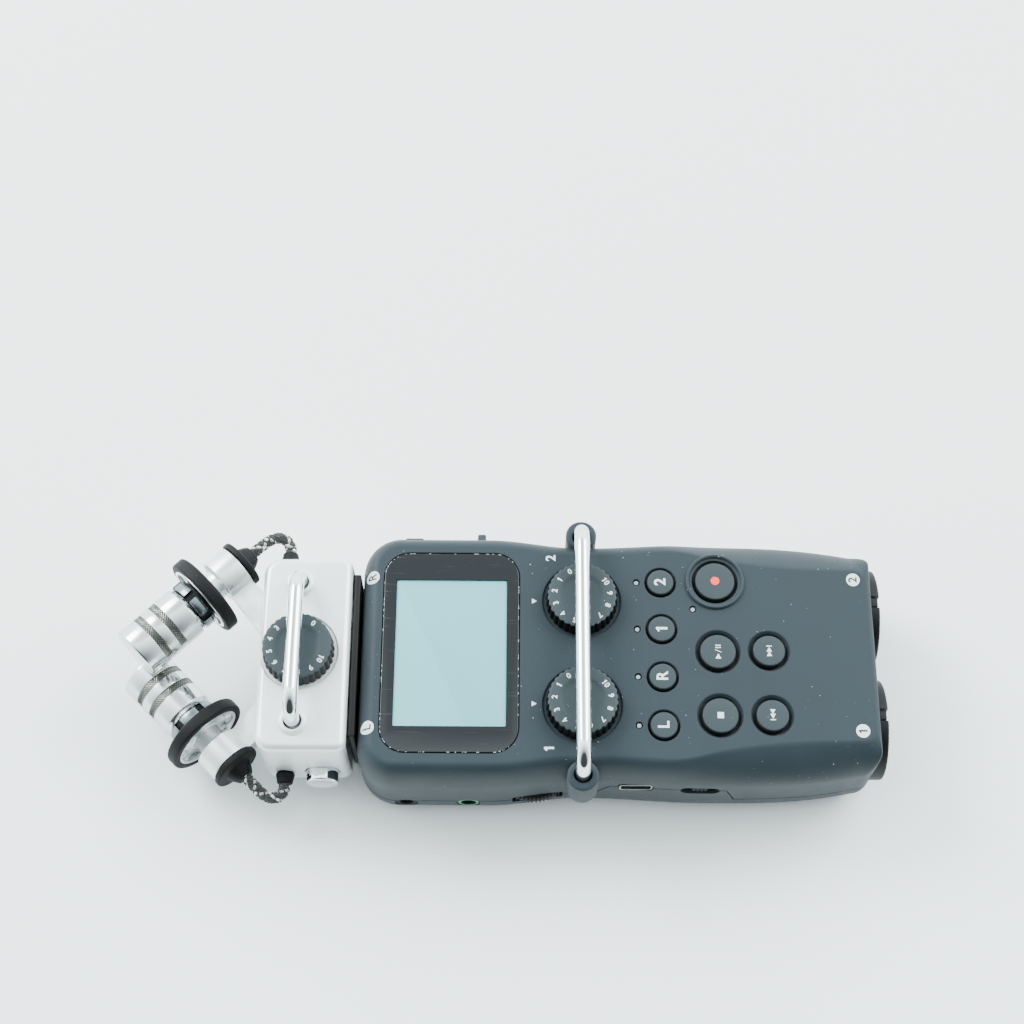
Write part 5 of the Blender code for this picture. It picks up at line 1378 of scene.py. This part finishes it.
class RECORDER_OT_far_side(bpy.types.Operator):
    """Menu key and select lever"""

    bl_idname = "recorder.far_side"
    bl_label = "Far side"

    def execute(self, context):
        place = NEAR_WALL
        for name, x, width, reach, body_half, round_off in (
            ("menu_button", -37.8, 4.8, 34.0, 3.3, 0.5),
            ("select_lever", -20.0, 2.2, 35.2, 4.9, 0.45),
        ):
            bm = soft_box(bmesh.new(), (x - body_half, 28.3, -9.2), (x + body_half, 29.4, -4.8), 0.1)
            base = piece(name + "_slide", bm, "silicone_key")
            cap = pillow(bmesh.new(), width, 2.6, round_off, -reach, -28.8, 0.4, (x, -7.0), place)
            grooves = []
            if name == "select_lever":
                for i in (-1, 0, 1):
                    grooves.append(box_tool((x - 2, 34.85, -7.0 + i * 0.75 - 0.15),
                                                 (x + 2, 36, -7.0 + i * 0.75 + 0.15), 0))
            carve(base, grooves, [tool(cap)])
            ride(base, name, name, slot="dial_plastic")
        return {"FINISHED"}


class RECORDER_OT_sockets(bpy.types.Operator):
    """Combination sockets with their collars and latch tabs"""

    bl_idname = "recorder.sockets"
    bl_label = "Sockets"

    def execute(self, context):
        for number, side in (("1", -1), ("2", 1)):
            centre = (BODY_RIGHT, side * SOCKET_Y, SOCKET_Z)
            place = frame_on(centre, (1, 0, 0))
            profile = [(0, -7, 0), (9.6, -7, 0), (9.6, 1.9, 0), (10.1, 2.4, 0.2), (12.8, 2.4, 0.6),
                       (12.8, -1.9, 0),
                       (11, -1.9, 0), (11, -16.9, 0), (0, -16.9, 0)]
            body = piece("socket_body_" + number, lathe(bmesh.new(), profile, place, 96), "black_nylon")
            holes = [turned_tool([(0, 0, 0), (3.3, 0, 0), (3.3, -15, 0), (0, -15, 0)], place, 48)]
            for degrees in (90, 210, 330):
                y = centre[1] + 6.3 * math.cos(math.radians(degrees))
                z = centre[2] - 6.3 * math.sin(math.radians(degrees))
                spot = frame_on((BODY_RIGHT, y, z), (1, 0, 0))
                holes.append(turned_tool([(0, 0, 0), (1.3, 0, 0), (1.3, -13, 0), (0, -13, 0)], spot, 24))
            low = (BODY_RIGHT - 3.9, centre[1] - 1.6, SOCKET_Z + 9.0)
            holes.append(box_tool(low, (BODY_RIGHT + 5, centre[1] + 1.6, 0), 0))
            carve(body, holes)
            ride(body, "main_unit", "combo_jack_" + number, slot="black_plastic")
            ring = [(3.28, -7.1, 0), (3.28, -14.8, 0), (3.05, -14.8, 0), (3.05, -7.1, 0)]
            ride(turned("socket_contact_" + number, ring, "nickel_plate", centre, (1, 0, 0), 40), "main_unit",
                 slot="plated_steel")
            low = (BODY_RIGHT - 1.9, centre[1] - 1.3, SOCKET_Z + 9.9)
            bm = soft_box(bmesh.new(), low, (BODY_RIGHT + 2.0, centre[1] + 1.3, SOCKET_Z + 12.3), 0.3)
            ride(piece("latch_tab_" + number, bm, "black_nylon"), "release_tab_" + number,
                 "release_tab_" + number,
                 slot="black_plastic")
        return {"FINISHED"}


class RECORDER_OT_back(bpy.types.Operator):
    """Tripod bush in the back"""

    bl_idname = "recorder.back"
    bl_label = "Back"

    def execute(self, context):
        profile = [(0, 7.4, 0), (4.8, 7.4, 0), (4.8, 4.2, 0), (6.4, 4.2, 0), (6.4, 2.5, 0), (4.8, 2.5, 0),
                   (4.8, 0, 0.15), (3.5, 0, 0.1), (3.2, 0.3, 0), (3.2, 6.0, 0), (0, 6.0, 0)]
        bush = turned("bush", profile, "nickel_plate", (-4.0, 0, BODY_FLOOR), sides=64)
        ride(bush, "main_unit", "tripod_bush", slot="plated_steel")
        route = []
        turns = 4.5
        steps = 24
        for i in range(int(turns * steps) + 1):
            angle = 2 * math.pi * i / steps
            route.append(Vector((-4.0 + 3.13 * math.cos(angle), 3.13 * math.sin(angle),
                                 BODY_FLOOR + 0.5 + 1.27 * i / steps * 0.9)))
        thread = piece("bush_thread", pipe(bmesh.new(), route, 0.22, 6), "nickel_plate", 60)
        ride(thread, "main_unit", slot="plated_steel")
        return {"FINISHED"}


def shell_ring(inset, z):
    """The capsule housing's outline, with larger corners at the microphone end."""
    left, right, half = SHELL[0] + inset, SHELL[1] - inset, SHELL[2] - inset
    middle = (SHELL[0] + SHELL[1]) / 2
    points = []
    for x, y, radius, start in ((right, half, 2.5, 0), (left, half, 4.5, 90), (left, -half, 4.5, 180),
                                (right, -half, 2.5, 270)):
        arc = max(radius - inset, 0.4)
        cx = x - math.copysign(arc, x - middle)
        cy = y - math.copysign(arc, y)
        for i in range(11):
            angle = math.radians(start + 9 * i)
            points.append(Vector((cx + arc * math.cos(angle), cy + arc * math.sin(angle), z)))
    return points


class RECORDER_OT_capsule(bpy.types.Operator):
    """Capsule housing, mating plate, release buttons and glands"""

    bl_idname = "recorder.capsule"
    bl_label = "Capsule"

    def execute(self, context):
        left, right, half, top, floor = SHELL
        edge = quarter(2.0, 2.0, 8)
        rings = [shell_ring(inset, top - depth) for inset, depth in edge]
        rings += [shell_ring(inset, floor + depth) for inset, depth in reversed(edge)]
        shell = piece("capsule_housing", stack(bmesh.new(), rings), "satin_lacquer")
        hollow = box_tool((left + 1.8, -half + 1.8, floor + 1.8), (right + 5, half - 1.8, top - 1.8),
                               1.0)
        x, y, well = CAPSULE_DIAL
        profile = [(0, 2, 0), (11, 2, 0), (11, top, 0), (10.0, top, 0.3), (10.0, well, 0.2), (3.4, well, 0),
                   (3.4, top - 4, 0), (0, top - 4, 0)]
        cutters = [turned_tool(profile, frame_on((x, y, 0)), 96)]
        joins = []
        for name, side in SIDES.items():
            spot = frame_on((CAPSULE_BAR_X, side * CAPSULE_BAR_LEG_Y, top))
            boss = [(0, 1.2, 0), (3.2, 1.2, 0.6), (3.75, 0.1, 0.25), (3.75, -7, 0), (0, -7, 0)]
            joins.append(turned_tool(boss, spot, 64))
            bore = [(0, 3, 0), (2.9, 3, 0), (2.9, 1.2, 0), (2.35, 1.2, 0.3), (2.35, -6, 0), (0, -6, 0)]
            cutters.append(turned_tool(bore, spot, 40))
            spot = frame_on((RELEASE[0], side * half, RELEASE[1]), (0, side, 0))
            bore = [(0, 3, 0), (5.2, 3, 0), (5.2, 0, 0), (4.5, 0, 0.3), (4.5, -4, 0), (0, -4, 0)]
            cutters.append(turned_tool(bore, spot, 64))
            spot = frame_on((GLAND_X, side * half, MIC_Z[name] - 2.5), (0, side, 0))
            bore = [(0, 3, 0), (2.8, 3, 0), (2.8, 0, 0), (2.2, 0, 0.25), (2.2, -4, 0), (0, -4, 0)]
            cutters.append(turned_tool(bore, spot, 40))
        carve(shell, [hollow])
        carve(shell, cutters, joins)
        ride(shell, "capsule", "capsule_shell", slot="satin_silver")
        self.make_base()
        for name, side in SIDES.items():
            centre = (RELEASE[0], side * half, RELEASE[1])
            profile = [(0, 2.9, 0), (1.6, 2.95, 0), (3.1, 3.2, 0.5), (4.2, 3.2, 0.7), (4.2, -2.1, 0),
                       (4.9, -2.1, 0),
                       (4.9, -3.1, 0), (0, -3.1, 0)]
            button = turned("release_cap_" + name, profile, "chrome_plate", centre, (0, side, 0), 72)
            ride(button, "release_button_" + name, "release_button_" + name, slot="polished_chrome")
            centre = (GLAND_X, side * half, MIC_Z[name] - 2.5)
            profile = [(0, 2.9, 0), (2.0, 2.9, 0.3), (2.1, 2.2, 0), (2.55, 0.3, 0.3), (1.9, 0.3, 0),
                       (1.9, -3, 0),
                       (0, -3, 0)]
            gland = turned("gland_" + name, profile, "black_rubber", centre, (0, side, 0), 40)
            ride(gland, "capsule", "cord_gland_" + name, slot="black_rubber")
        return {"FINISHED"}

    def make_base(self):
        """Mating plate, tongue and contacts."""
        low = (-53.0, -22.0, -25.5)
        base = soft_box(bmesh.new(), low, (-51.2, 22.0, -2.2), 0.4)
        plate = piece("mating_plate", base, "black_nylon")
        tongue = box_tool((-51.7, -17.3, -24.9), (-38.8, 17.3, -13.1), 0.5)
        slots = []
        for i in range(10):
            y = -9.0 + 2.0 * i
            slots.append(box_tool((-42.0, y - 0.6, -14.0), (-38.0, y + 0.6, -12.0), 0))
        carve(plate, slots, [tongue])
        ride(plate, "capsule", "capsule_base", slot="black_plastic")
        contacts = bmesh.new()
        for i in range(10):
            y = -9.0 + 2.0 * i
            soft_box(contacts, (-41.8, y - 0.4, -14.0), (-38.85, y + 0.4, -13.5), 0.1, 1)
        ride(piece("plug_contacts", contacts, "nickel_plate"), "capsule", slot="plated_steel")


def mic_axes(name):
    """Centre of a microphone's ring, its axis to the tip, and the direction across it."""
    side = SIDES[name]
    centre = Vector((RING_CENTRE[0], side * RING_CENTRE[1], MIC_Z[name]))
    axis = Vector((-1.0, -side, 0.0)).normalized()
    across = Vector((1.0, -side, 0.0)).normalized()
    return centre, axis, across


class RECORDER_OT_microphones(bpy.types.Operator):
    """Two turned microphones in rubber rings, with their arms"""

    bl_idname = "recorder.microphones"
    bl_label = "Microphones"

    def execute(self, context):
        for name in SIDES:
            self.make_ring(name)
            self.make_body(name)
            self.make_arm(name)
            self.make_cap(name)
        return {"FINISHED"}

    def make_ring(self, name):
        """Rubber ring."""
        centre, axis, _ = mic_axes(name)
        profile = [(9.4, 0.0, 0), (9.4, 1.75, 0.4), (11.1, 1.75, 0.7), (11.1, -1.75, 0.7), (9.4, -1.75, 0.4)]
        ring = turned("rubber_ring_" + name, profile, "black_rubber", centre, axis, 96)
        ride(ring, "capsule", "shock_ring_" + name, slot="black_rubber")

    def make_body(self, name):
        """Turned body with two gauze bands."""
        centre, axis, _ = mic_axes(name)
        r = sizes().mic_radius * 1000
        inner = r - 0.55
        profile = [(0, 23.6, 0), (r - 1.6, 23.6, 0.2), (r - 1.1, 23.55, 0), (r, 23.4, 0.9), (r, 18.4, 0.12),
                   (inner, 18.4, 0), (inner, 16.4, 0), (r, 16.4, 0.12), (r, 13.7, 0.12), (inner, 13.7, 0),
                   (inner, 11.7, 0), (r, 11.7, 0.12), (r, 6.7, 0.3), (r - 0.9, 5.6, 0.15), (r - 1.6, 5.6, 0),
                   (r - 1.9, 6.3, 0), (0, 6.3, 0)]
        body = turned("mic_body_" + name, profile, "turned_aluminium", centre, axis, 128, 28)
        ride(body, "capsule", "mic_" + name, slot="turned_aluminium")
        place = frame_on(centre, axis)
        turn = place.to_3x3()
        for band, (low, high) in (("outer", (16.4, 18.4)), ("inner", (11.7, 13.7))):
            wires = bmesh.new()
            for lean in (1, -1):
                route = []
                for i in range(4):
                    t = i / 3
                    angle = lean * (t - 0.5) * math.radians(17.0)
                    reach = r - 0.3 + 0.07 * lean * math.cos(2 * math.pi * t * 1.5)
                    route.append(Vector((reach * math.cos(angle), reach * math.sin(angle),
                                         low + (high - low) * t)))
                pipe(wires, route, 0.09, 5)
            count = counts().band_wires
            gauze = ring_of(f"gauze_{band}_{name}", wires, count, "steel_gauze", centre, axis, angle=60)
            ride(gauze, "capsule", slot="turned_aluminium")
            # A near-black sleeve behind the gauze: painted shade inside the band
            liner = [(inner + 0.05, low + 0.02, 0), (inner + 0.05, high - 0.02, 0),
                     (inner - 0.3, high - 0.02, 0),
                     (inner - 0.3, low + 0.02, 0)]
            ride(turned(f"band_shade_liner_{band}_{name}", liner, "painted_gap_shade", centre, axis, 96), "capsule",
                 slot="black_plastic")
            posts = bmesh.new()
            arc = [math.radians(-12 + 24 * i / 8) for i in range(9)]
            outline = [((r - 0.02) * math.cos(a), (r - 0.02) * math.sin(a)) for a in arc]
            outline += [((inner - 0.1) * math.cos(a), (inner - 0.1) * math.sin(a)) for a in reversed(arc)]
            slab(posts, outline, low - 0.05, high + 0.05)
            sideways = turn.inverted() @ Vector((0, 0, 1))
            start = math.degrees(math.atan2(sideways.y, sideways.x)) + 90
            ride(ring_of(f"band_posts_{band}_{name}", posts, 2, "turned_aluminium", centre, axis, start),
                 "capsule",
                 slot="turned_aluminium")

    def make_arm(self, name):
        """Bracket, carrier rim with spokes, and the neck between them."""
        centre, axis, across = mic_axes(name)
        place = frame_on(centre, axis)
        profile = [(0, 5.3, 0), (3.4, 5.3, 0), (3.4, 1.6, 0.4), (7.4, 1.1, 0.3), (7.4, 0.2, 0.1),
                   (3.9, -0.5, 0.3),
                   (3.9, -4.6, 0.2), (5.6, -4.6, 0), (6.1, -4.9, 0.3), (6.1, -11.4, 0.25), (0, -11.4, 0)]
        arm = piece("arm_" + name, lathe(bmesh.new(), profile, place, 96), "bead_blasted_aluminium")
        side = SIDES[name]
        low = {"right": -2.0, "left": -4.0}[name]
        corner_in = centre + axis * -4.9 + across * 3.0
        corner_out = centre + axis * -11.1 + across * 3.0
        wall_x = SHELL[0] - 0.05
        outline = [(wall_x, side * 5.5), (wall_x, side * 17.0), (corner_out.x, corner_out.y),
                   (corner_in.x, corner_in.y)]
        web = slab_tool(outline, low, 1.0, Matrix.Translation((0, 0, MIC_Z[name])))
        carve(arm, [], [web])
        ride(arm, "capsule", "mic_arm_" + name, slot="satin_silver")
        rim = [(8.9, 1.95, 0), (9.35, 1.95, 0.2), (9.35, -1.6, 0.2), (8.4, -1.6, 0.3), (8.4, 1.95, 0.3)]
        carrier = turned("carrier_rim_" + name, rim, "turned_aluminium", centre, axis, 96)
        ride(carrier, "capsule", slot="satin_silver")
        spoke = soft_box(bmesh.new(), (6.6, -1.15, -0.7), (8.6, 1.15, 0.7), 0.25)
        spokes = ring_of("carrier_spokes_" + name, spoke, 6, "turned_aluminium", centre, axis, 30.0)
        ride(spokes, "capsule", slot="satin_silver")
        cage = [(5.2, 5.3, 0), (5.9, 5.3, 0.2), (6.1, 2.0, 0.3), (5.4, 1.5, 0.3), (4.4, 1.5, 0),
                (4.4, 5.3, 0)]
        neck = piece("neck_" + name, lathe(bmesh.new(), cage, place, 96), "black_nylon")
        ride(neck, "capsule", slot="black_plastic")
        arc = [math.radians(-21 + 42 * i / 12) for i in range(13)]
        rings = []
        for s, inset in ((2.5, 0.35), (2.62, 0.12), (2.95, 0.0), (4.9, 0.0), (5.2, 0.12), (5.3, 0.35)):
            outer = [((6.85 - inset) * math.cos(a), (6.85 - inset) * math.sin(a)) for a in arc]
            core = [(5.85 * math.cos(a), 5.85 * math.sin(a)) for a in reversed(arc)]
            rings.append([Vector((u, v, s)) for u, v in outer + core])
        shoes = ring_of("neck_shoes_" + name, stack(bmesh.new(), rings), 6, "dark_nickel", centre, axis, 12.0)
        ride(shoes, "capsule", slot="plated_steel")

    def make_cap(self, name):
        """Stepped rubber cap that the lead leaves from."""
        centre, axis, _ = mic_axes(name)
        profile = [(0, -11.7, 0), (6.5, -11.7, 0.25), (6.5, -13.3, 0.5), (3.7, -13.5, 0.4), (3.0, -15.2, 0.5),
                   (2.2, -16.5, 0.3), (0, -16.5, 0)]
        cap = turned("end_cap_" + name, profile, "black_rubber", centre, axis, 72)
        ride(cap, "capsule", "mic_end_cap_" + name, slot="black_rubber")


class RECORDER_OT_cords(bpy.types.Operator):
    """Short braided leads from the microphones into the capsule"""

    bl_idname = "recorder.cords"
    bl_label = "Leads"

    def execute(self, context):
        radius = sizes().cord_diameter * 500
        yarn = 0.2
        for name, side in SIDES.items():
            points = [Vector((x, side * y, MIC_Z[name] - 2.5 * share)) for x, y, share in CORD_ROUTE]
            first = points[0] - (points[1] - points[0]) * 0.35
            last = points[-1] - Vector((0, side * 0.5, 0))
            points = [first] + points + [last]
            route = smooth_route(points, 10)
            core = piece("lead_" + name, pipe(bmesh.new(), route, radius - 1.4 * yarn, 20), "black_yarn")
            ride(core, "capsule", "mic_cord_" + name, slot="braided_sleeve")
            frames = frames_along(route)
            lengths = [0.0]
            for a, b in zip(route, route[1:]):
                lengths.append(lengths[-1] + (b - a).length)
            for material, chosen in (("black_yarn", {1: (0, 1, 3, 4, 6, 7), -1: (0, 1, 2, 4, 5, 6, 7)}),
                                     ("white_yarn", {1: (2, 5), -1: (3,)})):
                bm = bmesh.new()
                for lean, yarns in chosen.items():
                    for k in yarns:
                        path = []
                        for (point, u, v), run in zip(frames, lengths):
                            turn = lean * 2 * math.pi * run / 9.0 + 2 * math.pi * k / 8
                            wave = math.cos(8 * math.pi * run / 9.0 * 2 + math.pi * (k + (lean > 0)))
                            reach = radius - yarn * 1.6 + 0.2 * wave
                            path.append(point + u * reach * math.cos(turn) + v * reach * math.sin(turn))
                        for shift in (-0.16, 0.16):
                            moved = []
                            for (point, u, v), place in zip(frames, path):
                                outward = (place - point).normalized()
                                along = u.cross(v).normalized()
                                moved.append(place + outward.cross(along) * shift * 1.2)
                            pipe(bm, moved, yarn, 6)
                strands = piece(f"lead_{material}_{name}", bm, material, 70)
                ride(strands, "capsule", slot="braided_sleeve")
        return {"FINISHED"}


class RECORDER_OT_printing(bpy.types.Operator):
    """Generic numbers, letters and pointers printed on the casing"""

    bl_idname = "recorder.printing"
    bl_label = "Printing"

    def execute(self, context):
        casing = bpy.data.objects["casing_front"]
        marks = [("1", 2.5, (-2.4, -25.4), 90), ("2", 2.5, (-1.8, 26.0), 90),
                 ("pointer", 1.4, (-6.2, -13.8), 90),
                 ("pointer", 1.4, (-6.2, 13.95), 90)]
        letters = []
        for text, x, y in (("R", -48.0, 20.4), ("L", -48.0, -20.2), ("2", 76.3, 20.4), ("1", 76.1, -20.4)):
            marks.append(("disc", 1.75, (x, y), 0))
            letters.append((text, 2.2, Vector((x, y, 0)), 90))
        marks = [(text, height, Vector((*spot, 0)), turn) for text, height, spot, turn in marks]
        ride(lettering("panel_print", marks, "printed_ink", casing), "main_unit", slot="light_guide")
        ride(lettering("disc_letters", letters, "casing_ink", casing, 0.035), "main_unit",
             slot="soft_touch_plastic")
        return {"FINISHED"}


class RECORDER_OT_inner_parts(bpy.types.Operator):
    """Finishes for the parts inside, whose shapes stay as they are"""

    bl_idname = "recorder.inner_parts"
    bl_label = "Inner parts"

    def execute(self, context):
        finishes = {
            "main_board": "solder_mask", "capsule_board": "solder_mask", "memory_card": "black_nylon",
            "battery_1": "battery_sleeve", "battery_2": "battery_sleeve", "battery_spring_1": "nickel_plate",
            "battery_spring_2": "nickel_plate", "battery_bay": "black_nylon", "speaker": "black_nylon",
            "capsule_socket": "black_nylon",
        }
        for node, material in finishes.items():
            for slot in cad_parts[node].material_slots:
                slot.material = MATERIALS[material]
        return {"FINISHED"}


OPERATORS = (
    RECORDER_OT_stage, RECORDER_OT_casing, RECORDER_OT_display, RECORDER_OT_dials, RECORDER_OT_keys,
    RECORDER_OT_bars, RECORDER_OT_near_side, RECORDER_OT_far_side, RECORDER_OT_sockets, RECORDER_OT_back,
    RECORDER_OT_capsule, RECORDER_OT_microphones, RECORDER_OT_cords, RECORDER_OT_printing,
    RECORDER_OT_inner_parts,
)


class RECORDER_PT_panel(bpy.types.Panel):
    """Sizes, colours and one button for each group of pieces"""

    bl_idname = "RECORDER_PT_panel"
    bl_label = "Field Recorder"
    bl_space_type = "VIEW_3D"
    bl_region_type = "UI"
    bl_category = "Recorder"

    def draw(self, context):
        layout = self.layout
        for group in (context.scene.recorder_sizes, context.scene.recorder_counts,
                      context.scene.recorder_colours):
            box = layout.box()
            for name in group.bl_rna.properties.keys():
                if name not in {"rna_type", "name"}:
                    box.prop(group, name)
        for operator in OPERATORS:
            layout.operator(operator.bl_idname)


CLASSES = (RecorderSizes, RecorderCounts, RecorderColours, *OPERATORS, RECORDER_PT_panel)


def register():
    """Registers the classes and the scene's settings."""
    for item in CLASSES:
        bpy.utils.register_class(item)
    bpy.types.Scene.recorder_sizes = PointerProperty(type=RecorderSizes)
    bpy.types.Scene.recorder_counts = PointerProperty(type=RecorderCounts)
    bpy.types.Scene.recorder_colours = PointerProperty(type=RecorderColours)


def unregister():
    """Removes what register added."""
    del bpy.types.Scene.recorder_colours
    del bpy.types.Scene.recorder_counts
    del bpy.types.Scene.recorder_sizes
    for item in reversed(CLASSES):
        bpy.utils.unregister_class(item)


def main():
    """Builds everything."""
    register()
    make_materials()
    for operator in OPERATORS:
        getattr(bpy.ops.recorder, operator.bl_idname.split(".")[1])()


if __name__ == "__main__":
    main()
